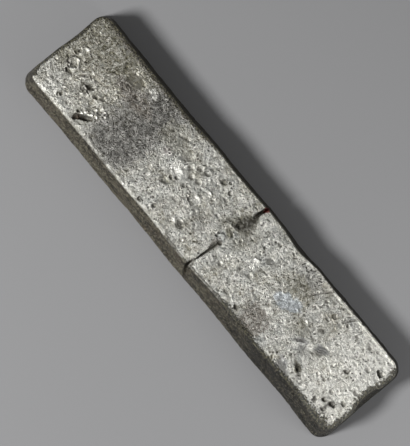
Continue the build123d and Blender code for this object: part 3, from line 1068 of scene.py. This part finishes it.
# %% Places of the small pits
densest = 9.0e5                        # points per square metre, before the gap thins them
scattered = node(relief, "GeometryNodeDistributePointsOnFaces", {
    "Mesh": given["Geometry"],
    "Distance Min": given["Pit Gap"],
    "Density Max": densest,
    "Seed": given["Seed"],
}, distribute_method="POISSON").outputs["Points"]
nearest = node(relief, "GeometryNodeSampleNearest", {"Geometry": scattered}, domain="POINT").outputs[0]
pit_place = node(relief, "GeometryNodeSampleIndex", {
    "Geometry": scattered, "Index": nearest, "Value": position,
}, data_type="FLOAT_VECTOR", domain="POINT").outputs[0]
pit_distance = node(relief, "ShaderNodeVectorMath", {
    0: position, 1: pit_place,
}, operation="DISTANCE").outputs["Value"]
chance = node(relief, "FunctionNodeRandomValue", {
    "Min": 0.0, "Max": 1.0, "ID": nearest, "Seed": given["Seed"],
}, data_type="FLOAT").outputs["Value"]

# %% Bowls of the small pits
# Bubbles come in swarms: a slow noise says where they burst
swarm_size = 8 * mm
swarm = node(relief, "ShaderNodeTexNoise", {
    "Scale": 1 / swarm_size, "Detail": 1.0, "Vector": pit_place,
}).outputs[0]
swarming = maths(relief, "MULTIPLY_ADD", swarm, 4.0, -1.3, clamp=True)
bursts = maths(relief, "LESS_THAN", chance, maths(relief, "MULTIPLY", given["Pit Share"], swarming))
# The last digits of the chance serve as a second one, so that small pits are many and large ones few
smallest_pit = 0.3
second_chance = maths(relief, "FRACT", maths(relief, "MULTIPLY", chance, 37.0))
pit_size = maths(relief, "MULTIPLY_ADD", maths(relief, "POWER", second_chance, 2.0), 0.7, smallest_pit)
pit_ratio = maths(relief, "DIVIDE", pit_distance, maths(relief, "MULTIPLY", given["Pit Radius"], pit_size))
pit_bowl = maths(relief, "SUBTRACT", 1.0, maths(relief, "MULTIPLY", pit_ratio, pit_ratio), clamp=True)
pit_bowl = maths(relief, "MULTIPLY", maths(relief, "MULTIPLY", pit_bowl, bursts), roughly)
pit_in = maths(relief, "MULTIPLY", maths(relief, "MULTIPLY", pit_bowl, pit_size), given["Pit Depth"])

# %% Press everything inwards
pressed = maths(relief, "ADD", swell_in, grain_in)
pressed = maths(relief, "ADD", pressed, maths(relief, "ADD", pit_in, dimple_in))
inwards = node(relief, "ShaderNodeVectorMath", {
    0: node(relief, "GeometryNodeInputNormal").outputs[0], "Scale": maths(relief, "MULTIPLY", pressed, -1.0),
}, operation="SCALE").outputs[0]
kept = given["Geometry"]
for label, value in (("pit", pit_bowl), ("grain", grain)):
    kept = node(relief, "GeometryNodeStoreNamedAttribute", {
        "Geometry": kept, "Name": label, "Value": value,
    }, data_type="FLOAT", domain="POINT").outputs[0]
moved = node(relief, "GeometryNodeSetPosition", {"Geometry": kept, "Offset": inwards}).outputs[0]
real = node(relief, "GeometryNodeRealizeInstances", {"Geometry": moved}).outputs[0]
dressed = node(relief, "GeometryNodeSetMaterial", {
    "Geometry": real, "Material": given["Material"],
}).outputs[0]
relief.links.new(dressed, result["Geometry"])
print("frozen_relief:", len(relief.nodes), "nodes")

# %% [markdown]
# The finish is one metal in many states. Real silver tarnishes by how the air and hands reach it:
# hollows go brown, and whole patches turn grey, olive or blue. Crests are painted bright, partly as
# metal rubbed clean and partly as painted highlight, and the black in hollows is painted shade.
# So the material starts as bright metal, and stains are laid over it one by one, each an oval
# with a ragged edge. The stains share one node group, which puts out a mask and no shader.

# %% Group for the ragged oval of a stain
stain, given, result = new_group("ragged_oval", "ShaderNodeTree", [
    ("Place", "Vector"),
    ("Middle", "Vector"),
    ("Half Size", "Vector"),
    ("Turn", "Float"),
    ("Softness", "Float", 0.5),
], [("Mask", "Float")])
turned = node(stain, "ShaderNodeVectorRotate", {
    "Vector": vectors(stain, "SUBTRACT", given["Place"], given["Middle"]),
    "Angle": maths(stain, "MULTIPLY", given["Turn"], -1.0),
}, rotation_type="Z_AXIS").outputs[0]
oval = node(stain, "ShaderNodeVectorMath", {0: vectors(stain, "DIVIDE", turned, given["Half Size"])},
            operation="LENGTH").outputs["Value"]
mask = node(stain, "ShaderNodeMapRange", {
    "Value": oval,
    "From Min": maths(stain, "ADD", 1.0, given["Softness"]),
    "From Max": maths(stain, "SUBTRACT", 1.0, given["Softness"]),
}, interpolation_type="SMOOTHSTEP").outputs[0]
stain.links.new(mask, result["Mask"])
print("ragged_oval:", len(stain.nodes), "nodes")

# %% Group for the frozen grain
grain_group, given, result = new_group("frozen_grain", "ShaderNodeTree", [
    ("Place", "Vector"),
    ("Size", "Float", 0.6),
    ("Wander", "Float", 0.8),
], [("Height", "Float"), ("Crest", "Float"), ("Valley", "Float")])
winding = node(grain_group, "ShaderNodeTexNoise", {
    "Vector": given["Place"], "Scale": maths(grain_group, "DIVIDE", 1.0, given["Size"]),
    "Detail": 3.0, "Roughness": 0.6, "Distortion": given["Wander"],
}).outputs[0]
folded = maths(grain_group, "ABSOLUTE", maths(grain_group, "MULTIPLY_ADD", winding, 4.0, -2.0))
crest = maths(grain_group, "SUBTRACT", 1.0, folded, clamp=True)
grain_group.links.new(crest, result["Height"])
grain_group.links.new(maths(grain_group, "POWER", crest, 4.0), result["Crest"])
below_crest = maths(grain_group, "SUBTRACT", 1.0, crest)
grain_group.links.new(maths(grain_group, "POWER", below_crest, 3.0), result["Valley"])
print("frozen_grain:", len(grain_group.nodes), "nodes")

# %% Group for the fine gas specks
speck_group, given, result = new_group("gas_specks", "ShaderNodeTree", [
    ("Place", "Vector"),
    ("Gap", "Float", 0.9),
    ("Share", "Float", 0.4),
    ("Radius", "Float", 0.3),
], [("Mask", "Float")])
cells = node(speck_group, "ShaderNodeTexVoronoi", {
    "Vector": given["Place"],
    "Scale": maths(speck_group, "DIVIDE", 1.0, given["Gap"]),
    "Randomness": 1.0,
}, feature="F1").outputs
chance = node(speck_group, "ShaderNodeSeparateColor", {0: cells["Color"]}).outputs
here = maths(speck_group, "LESS_THAN", chance[0], given["Share"])
scaled = maths(speck_group, "MULTIPLY_ADD", chance[1], 0.8, 0.35)
radius = maths(speck_group, "MULTIPLY", given["Radius"], scaled)
from_middle = maths(speck_group, "DIVIDE", cells["Distance"], radius)
fullness = maths(speck_group, "SUBTRACT", 1.0, from_middle, clamp=True)
round_fullness = node(speck_group, "ShaderNodeMapRange", {"Value": fullness, "From Max": 0.6},
                      interpolation_type="SMOOTHSTEP").outputs[0]
speck_group.links.new(maths(speck_group, "MULTIPLY", round_fullness, here), result["Mask"])
print("gas_specks:", len(speck_group.nodes), "nodes")

# %% Material of cast silver
cast_silver = bpy.data.materials.new("cast_silver")
cast_silver.use_nodes = True
metal = cast_silver.node_tree
shader = metal.nodes["Principled BSDF"]


def use(group, inputs):
    """A node group placed in the metal, with its own values."""
    return node(metal, "ShaderNodeGroup", inputs, node_tree=group).outputs


def blend(amount, below, above):
    """One colour over another, by a mask. A plain colour is given as red, green and blue."""
    layers = [(*layer, 1.0) if isinstance(layer, tuple) else layer for layer in (below, above)]
    return node(metal, "ShaderNodeMix", {0: amount, 6: layers[0], 7: layers[1]}, data_type="RGBA").outputs[2]


def kept_value(label):
    """A value kept at the points of the skin."""
    return node(metal, "ShaderNodeAttribute", attribute_name=label).outputs["Fac"]


def noise_of(place, size, detail=2.0, wander=0.0):
    """An even noise from 0 to 1, with blotches of a size in mm."""
    return node(metal, "ShaderNodeTexNoise", {
        "Vector": place, "Scale": 1 / size, "Detail": detail, "Distortion": wander,
    }).outputs[0]


def ramp(value, low, high, start=0.0, end=1.0):
    """A value stretched between two limits."""
    return node(metal, "ShaderNodeMapRange", {
        "Value": value, "From Min": low, "From Max": high, "To Min": start, "To Max": end,
    }).outputs[0]


def times(*values):
    """Masks multiplied together."""
    product = values[0]
    for value in values[1:]:
        product = maths(metal, "MULTIPLY", product, value)
    return product


# %% Places for the finish, in mm
place = node(metal, "ShaderNodeMapping", {
    "Vector": node(metal, "ShaderNodeTexCoord").outputs["Object"], "Scale": (1 / mm, 1 / mm, 1 / mm),
}).outputs[0]
raggedness = 1.9                       # how far an edge strays
stray = (raggedness * 2, raggedness * 2, 0.0)
rag = node(metal, "ShaderNodeTexNoise", {
    "Vector": place, "Scale": 0.5, "Detail": 5.0, "Roughness": 0.7,
}).outputs[1]
strayed = vectors(metal, "MULTIPLY", vectors(metal, "SUBTRACT", rag, (0.5, 0.5, 0.5)), stray)
ragged_place = vectors(metal, "ADD", place, strayed)
flat_place = vectors(metal, "MULTIPLY", ragged_place, (1.0, 1.0, 0.0))
speckle = noise_of(place, 0.8, 3.0, 0.6)
mottle = noise_of(vectors(metal, "ADD", place, (11.0, 5.0, 0.0)), 1.5, 6.0, 0.5)
patchy = 0.55                          # how fast a stain comes and goes

# %% Ways to lay a stain


def oval(middle, size, turn, softness):
    """The mask of a stain."""
    return use(stain, {
        "Place": flat_place, "Middle": (*middle, 0.0), "Half Size": (size[0] / 2, size[1] / 2, 1.0),
        "Turn": radians(turn), "Softness": softness,
    })["Mask"]


def patch(below, colour, middle, size, turn, softness, strength, broken):
    """A stain over the colour so far, broken into patches where it is thin."""
    mask = oval(middle, size, turn, softness)
    if broken:
        thinned = maths(metal, "SUBTRACT", mask, 2 * broken)
        uneven = maths(metal, "MULTIPLY_ADD", mottle, 4 * broken, thinned)
        mask = times(ramp(uneven, 0.5 - patchy / 2, 0.5 + patchy / 2), ramp(mask, 0.0, 0.3))
    return blend(times(mask, strength), below, colour)


def stain_over(below, stains):
    """A row of stains laid one by one over the colour so far."""
    for row in stains:
        below = patch(below, *row)
    return below


# %% Masks and grains of the finish
blotch = noise_of(place, 6.0, 4.0, 0.4)
small_blotch = noise_of(vectors(metal, "ADD", place, (31.0, 7.0, 3.0)), 2.1, 3.0, 0.5)
flank_mask = kept_value("flank")
pit_mask = kept_value("pit")
painted_shade_mask = kept_value("painted_shade")
stain_mask = kept_value("stained")
glint_mask = kept_value("glint")
calm_mask = kept_value("calm")
rim_wear_and_highlight_mask = kept_value("rim_wear_and_highlight")
eaten_mask = kept_value("eaten")
rough_mask = ramp(calm_mask, 0.0, 1.0, 1.0, 0.2)
mesh_grain = kept_value("grain")
fine_grain = use(grain_group, {"Place": place, "Size": 0.95, "Wander": 0.9})
finest_grain = use(grain_group, {"Place": place, "Size": 0.55, "Wander": 0.6})
speck_share = ramp(blotch, 0.3, 0.7, 0.55, 0.15)
specks = use(speck_group, {"Place": place, "Gap": 0.85, "Share": speck_share, "Radius": 0.42})["Mask"]
specks = times(specks, rough_mask)

# %% [markdown]
# Tarnish on silver runs from bright through khaki and olive to brown, grey and black.
# The patches in the photo are told apart by where they lie, so they stand in tables: each row
# is one stain or one painted light, and a loop lays them in order. Only the ground under them is pure noise.

# %% Colours of silver and its tarnish
bright_and_lit_silver = (0.90, 0.885, 0.82)
worn_and_lit_silver = (0.80, 0.78, 0.71)
plain_silver = (0.40, 0.40, 0.37)
cool_silver = (0.33, 0.343, 0.338)
khaki_tarnish = (0.27, 0.25, 0.185)
olive_tarnish = (0.135, 0.125, 0.078)
valley_tarnish = (0.080, 0.074, 0.048)
grey_tarnish = (0.062, 0.058, 0.053)
brown_tarnish = (0.11, 0.092, 0.072)
pink_tarnish = (0.40, 0.345, 0.335)
blue_film = (0.55, 0.59, 0.62)
lens_grey = (0.29, 0.29, 0.292)
shade_black = (0.030, 0.026, 0.018)

# %% Stains of the top
colour = blend(ramp(blotch, 0.35, 0.68), plain_silver, khaki_tarnish)
colour = blend(ramp(small_blotch, 0.45, 0.75, 0.0, 0.7), colour, cool_silver)
# Colour, middle, size, turn in degrees, softness, strength and how broken; in mm from the middle
top_stains = (
    (khaki_tarnish, (-50.0, 4.0), (34.0, 22.0), 0, 0.6, 0.75, 0.0),
    (olive_tarnish, (-51.0, 8.6), (27.0, 13.0), 0, 0.6, 1.0, 0.4),
    (olive_tarnish, (-58.5, 1.5), (10.0, 12.0), 0, 0.45, 0.6, 0.6),
    (grey_tarnish, (-33.0, 0.0), (16.0, 42.0), -6, 0.7, 0.9, 0.35),
    (grey_tarnish, (-32.0, -5.5), (11.0, 13.0), 0, 0.6, 0.85, 0.6),
    (grey_tarnish, (-32.6, 6.5), (8.0, 13.0), 0, 0.6, 0.9, 0.5),
    (brown_tarnish, (-39.5, 4.6), (14.0, 5.5), 0, 0.45, 1.0, 0.4),
    (khaki_tarnish, (-42.6, 8.4), (7.0, 4.6), 0, 0.35, 0.95, 0.0),
    (brown_tarnish, (-40.0, 13.0), (52.0, 3.0), 0, 0.5, 0.85, 0.3),
    (olive_tarnish, (-24.0, 6.5), (9.5, 7.5), 0, 0.45, 0.6, 0.6),
    (pink_tarnish, (-22.7, 2.3), (3.4, 2.2), 0, 0.45, 0.6, 0.0),
    (khaki_tarnish, (-17.3, 7.0), (3.4, 4.8), 0, 0.45, 0.7, 0.0),
    (olive_tarnish, (-17.0, -3.0), (3.6, 2.4), 0, 0.45, 0.6, 0.0),
    (grey_tarnish, (-2.7, -3.2), (5.6, 5.0), 0, 0.45, 0.3, 0.0),
    (olive_tarnish, (1.8, 2.6), (4.8, 3.8), 35, 0.45, 0.6, 0.0),
    (olive_tarnish, (8.9, 2.6), (4.4, 8.0), 0, 0.45, 0.6, 0.6),
    (grey_tarnish, (27.5, 9.9), (9.0, 5.0), 0, 0.45, 0.5, 0.5),
    (olive_tarnish, (28.2, 6.0), (11.5, 6.4), 0, 0.45, 0.7, 0.3),
    (brown_tarnish, (26.8, -8.8), (8.4, 10.4), 0, 0.6, 0.95, 0.5),
    (brown_tarnish, (27.6, -10.6), (6.0, 5.0), 0, 0.6, 0.6, 0.5),
    (lens_grey, (39.6, -3.5), (5.0, 3.6), 40, 0.4, 0.5, 0.0),
    (olive_tarnish, (36.5, -0.4), (6.6, 4.0), 0, 0.45, 0.6, 0.3),
    # Painted light: the +X end is painted brighter
    (bright_and_lit_silver, (58.0, 0.5), (23.0, 46.0), 0, 0.55, 0.55, 0.0),
    (olive_tarnish, (53.9, 0.8), (2.6, 1.5), 0, 0.45, 0.6, 0.0),
    (pink_tarnish, (60.6, 11.4), (2.4, 1.6), 0, 0.45, 0.6, 0.0),
    # Painted highlights: these three bright ovals lie over beads
    (bright_and_lit_silver, (-16.8, 1.3), (4.6, 3.6), 0, 0.45, 0.8, 0.0),
    (bright_and_lit_silver, (-36.9, 9.4), (3.2, 2.0), 0, 0.6, 0.4, 0.4),
    (bright_and_lit_silver, (27.4, -4.2), (3.4, 1.6), 0, 0.45, 0.9, 0.0),
)
colour = stain_over(colour, top_stains)
print(len(top_stains), "stains on the top")

# %% Grain over the stains
lightness = node(metal, "ShaderNodeRGBToBW", {0: colour}).outputs[0]
brightness = ramp(lightness, 0.08, 0.34, 0.5, 1.0)
valley = maths(metal, "MAXIMUM", fine_grain["Valley"], ramp(mesh_grain, 0.35, 0.0, 0.0, 0.8))
valley = maths(metal, "MULTIPLY", valley, ramp(small_blotch, 0.35, 0.65, 1.45, 0.75), clamp=True)
colour = blend(times(valley, rough_mask), colour, valley_tarnish)
# Crests are painted bright: partly metal rubbed clean, partly painted highlight. The glint of beads, rings
# and ridges is a painted highlight
crests = maths(metal, "MAXIMUM", fine_grain["Crest"], ramp(mesh_grain, 0.75, 1.0, 0.0, 0.7))
small_crests = times(finest_grain["Crest"], fine_grain["Height"])
crests = maths(metal, "MULTIPLY_ADD", small_crests, 0.5, crests, clamp=True)
crests = times(crests, ramp(mottle, 0.35, 0.6, 0.25, 1.0), brightness, ramp(calm_mask, 0.2, 1.0, 1.0, 0.4))
crests = maths(metal, "MAXIMUM", crests, times(glint_mask, ramp(speckle, 0.3, 0.6, 0.5, 1.0)))
colour = blend(crests, colour, bright_and_lit_silver)
# Black pinholes: painted shade in the gas specks
colour = blend(times(specks, 0.8), colour, shade_black)
# These lie over the grain, in the same columns: the blue film, the crack's nodule, the grey lens
marks_on_the_grain = (
    (blue_film, (29.0, 1.2), (8.4, 4.4), 20, 0.45, 0.75, 0.45),
    (cool_silver, (4.2, -1.2), (2.8, 2.6), 0, 0.3, 0.65, 0.4),
    (olive_tarnish, (4.8, 1.2), (3.0, 1.9), -20, 0.6, 0.65, 0.3),
    (lens_grey, (44.6, 0.1), (4.0, 2.4), 27, 0.4, 0.65, 0.1),
    (lens_grey, (39.6, -2.2), (3.8, 1.5), 36, 0.5, 0.6, 0.1),
    (lens_grey, (41.2, -10.6), (5.6, 2.8), -22, 0.6, 0.55, 0.3),
    (olive_tarnish, (44.0, -7.5), (3.2, 2.0), -20, 0.5, 0.65, 0.3),
    (brown_tarnish, (4.6, -3.6), (2.6, 3.6), 0, 0.6, 0.6, 0.5),
)
colour = stain_over(colour, marks_on_the_grain)
print(len(marks_on_the_grain), "marks over the grain")

# %% [markdown]
# The sides froze against the mould, and they carry a brown and black crust, which eats into the
# rim here and there. A second material would end at a hard line, so the crust is a second colour
# instead, laid by the mask of the flank; on the far side, away from the lamp, it is painted darker as
# shade. Painted shade in holes and pits, worn edges with a painted highlight and three small marks
# come last.

# %% Crust of the sides
drawn_place = vectors(metal, "MULTIPLY", place, (0.6, 1.0, 1.0))
crust = noise_of(drawn_place, 1.0, 6.0, 0.3)
streaks = noise_of(vectors(metal, "MULTIPLY", place, (0.3, 1.0, 1.0)), 2.4, 5.0, 0.5)
rust_spots = noise_of(vectors(metal, "ADD", place, (3.0, 17.0, 9.0)), 2.6, 4.0, 0.6)
flank_brown = (0.046, 0.039, 0.027)
flank_olive = (0.160, 0.144, 0.100)
flank_red = (0.10, 0.070, 0.050)
flank_black = (0.020, 0.019, 0.016)
rust_red = (0.16, 0.025, 0.018)
along_bar, across_bar = node(metal, "ShaderNodeSeparateXYZ", {0: ragged_place}).outputs[:2]
streaky = maths(metal, "MULTIPLY_ADD", streaks, 1.6, times(crust, 0.8))
flank_colour = blend(ramp(streaky, 1.05, 1.38), flank_brown, flank_olive)
flank_grain = noise_of(vectors(metal, "MULTIPLY", place, (1.0, 1.0, 0.7)), 0.55, 5.0)
flank_colour = blend(ramp(flank_grain, 0.52, 0.62, 0.0, 0.75), flank_colour, khaki_tarnish)
flank_colour = blend(ramp(flank_grain, 0.38, 0.48, 0.75, 0.0), flank_colour, flank_black)
flank_colour = blend(ramp(rust_spots, 0.52, 0.72, 0.0, 0.5), flank_colour, flank_red)
blackened = times(ramp(along_bar, -2.0, 34.0), ramp(streaky, 1.1, 1.5, 1.0, 0.7))
blackened = times(blackened, ramp(flank_grain, 0.5, 0.62, 1.0, 0.45))
flank_colour = blend(blackened, flank_colour, flank_black)
# The far side, away from the lamp, is painted darker: painted shade
flank_colour = blend(ramp(across_bar, 8.0, 14.0, 0.0, 0.8), flank_colour, flank_brown)
flank_colour = blend(ramp(along_bar, -63.0, -61.0, 0.5, 0.0), flank_colour, flank_black)

# %% Bites in the rim, painted shade, and the worn rim with its painted highlight
bite_grain = noise_of(place, 0.6, 2.0)
ragged_bite = maths(metal, "MULTIPLY_ADD", bite_grain, 2.8, times(mottle, 1.4))
bitten = maths(metal, "ADD", ragged_bite, maths(metal, "SUBTRACT", eaten_mask, 2.1))
bitten = times(ramp(bitten, 0.3, 0.9), ramp(eaten_mask, 0.0, 0.15))
bitten_colour = blend(ramp(flank_grain, 0.45, 0.6, 0.0, 1.0), flank_black, olive_tarnish)
colour = blend(times(bitten, 0.9), colour, bitten_colour)
colour = blend(flank_mask, colour, flank_colour)
# The small pits go dark: painted shade
colour = blend(times(pit_mask, 0.6), colour, shade_black)
colour = blend(times(stain_mask, ramp(speckle, 0.35, 0.65, 0.85, 0.55)), colour, valley_tarnish)
# Holes, the crack, creases and the lamp's side of bowls go black: painted shade
colour = blend(times(painted_shade_mask, ramp(speckle, 0.35, 0.7, 1.0, 0.75)), colour, shade_black)
# The worn rim is painted light: partly metal rubbed clean, partly painted highlight
colour = blend(times(rim_wear_and_highlight_mask, ramp(speckle, 0.35, 0.6, 0.1, 0.9)), colour, worn_and_lit_silver)
# The red spot at the far edge, the slot by the near edge and the crack down the near side, whose black line
# is painted shade
marks_by_the_edge = (
    (rust_red, (6.5, 13.2), (1.2, 2.2), 0, 0.4, 0.9, 0.0),
    (flank_red, (-45.6, -10.6), (2.0, 1.2), 38, 0.6, 0.6, 0.0),
    (shade_black, (5.0, -14.4), (4.4, 0.7), -45, 0.6, 0.9, 0.0),
)
colour = stain_over(colour, marks_by_the_edge)
print(len(marks_by_the_edge), "marks by the edges")

# %% Relief of the finish
fine_relief, finest_relief = 0.15, 0.06  # in mm
speck_depth, crust_relief = 0.12, 0.16
height = times(finest_grain["Height"], finest_relief)
height = maths(metal, "MULTIPLY_ADD", fine_grain["Height"], fine_relief, height)
height = maths(metal, "MULTIPLY_ADD", specks, -speck_depth, height)
height = times(height, rough_mask)
crusted = maths(metal, "MULTIPLY_ADD", flank_grain, 1.5, fine_grain["Height"])
crusted = times(crusted, maths(metal, "MAXIMUM", flank_mask, bitten))
height = maths(metal, "MULTIPLY_ADD", crusted, crust_relief, height)
normal = node(metal, "ShaderNodeBump", {"Height": height, "Distance": mm, "Strength": 1.0}).outputs[0]
metal.links.new(colour, shader.inputs["Base Color"])
metal.links.new(normal, shader.inputs["Normal"])

# %% Gloss of the finish
dull_roughness, worn_roughness = 0.44, 0.36
mirror_strength = 0.25
gloss = maths(metal, "MAXIMUM", crests, rim_wear_and_highlight_mask)
metal.links.new(ramp(gloss, 0.0, 0.8, dull_roughness, worn_roughness), shader.inputs["Roughness"])
dull = maths(metal, "MAXIMUM", times(painted_shade_mask, 0.9), times(flank_mask, 0.6))
dull = maths(metal, "MAXIMUM", dull, maths(metal, "MAXIMUM", times(stain_mask, 0.6), times(bitten, 0.6)))
metal.links.new(maths(metal, "SUBTRACT", 1.0, dull, clamp=True), shader.inputs["Metallic"])
shader.inputs["Specular IOR Level"].default_value = mirror_strength
print("cast_silver:", len(metal.nodes), "nodes")

# %% [markdown]
# The modifier could stay, but then the relief would be worked out again each time that the skin
# changes. It is final, so it is pressed into a plain mesh, which also keeps the two masks that
# the tree stored. Each point is then held just inside the solid's box, so no knob stands out.

# %% Press the relief into the skin
settings = {"Material": cast_silver}
press = ingot_skin.modifiers.new("frozen_relief", "NODES")
press.node_group = relief
for socket in relief.interface.items_tree:
    if socket.in_out == "INPUT" and socket.name in settings:
        press[socket.identifier] = settings[socket.name]
bpy.context.view_layer.update()
pressed_skin = ingot_skin.evaluated_get(bpy.context.evaluated_depsgraph_get())
pressed_mesh = bpy.data.meshes.new_from_object(pressed_skin)
ingot_skin.modifiers.remove(press)
ingot_skin.data = pressed_mesh
margin = 0.01 * mm
corners = np.empty(len(pressed_mesh.vertices) * 3)
pressed_mesh.vertices.foreach_get("co", corners)
corners = corners.reshape(-1, 3)
corners = np.clip(corners, np.array(bar_low) + margin, np.array(bar_high) - margin)
pressed_mesh.vertices.foreach_set("co", corners.ravel())
pressed_mesh.update()
triangles = sum(len(face.vertices) - 2 for face in pressed_mesh.polygons)
print(triangles, "triangles in the skin")

# %% The skin takes the solid's place
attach(ingot_skin, "root")
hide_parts("ingot")

# %% [markdown]
# The bar lies on a plain pale sheet. Only the picture needs it, so it is not attached to a body as
# the skin is. One flat square is enough, since the light falls from above.

# %% Floor
floor_reach = 1.5
floor_colour = (0.29, 0.29, 0.295, 1.0)
floor_roughness = 0.9
floor_mesh = bpy.data.meshes.new("floor")
floor_corners = ((-1, -1), (1, -1), (1, 1), (-1, 1))
floor_points = [(x * floor_reach, y * floor_reach, 0.0) for x, y in floor_corners]
floor_mesh.from_pydata(floor_points, [], [(0, 1, 2, 3)])
floor = bpy.data.objects.new("floor", floor_mesh)
bpy.context.scene.collection.objects.link(floor)
paper = bpy.data.materials.new("pale_paper")
paper.use_nodes = True
paper_shader = paper.node_tree.nodes["Principled BSDF"]
paper_shader.inputs["Base Color"].default_value = floor_colour
paper_shader.inputs["Roughness"].default_value = floor_roughness
floor_mesh.materials.append(paper)
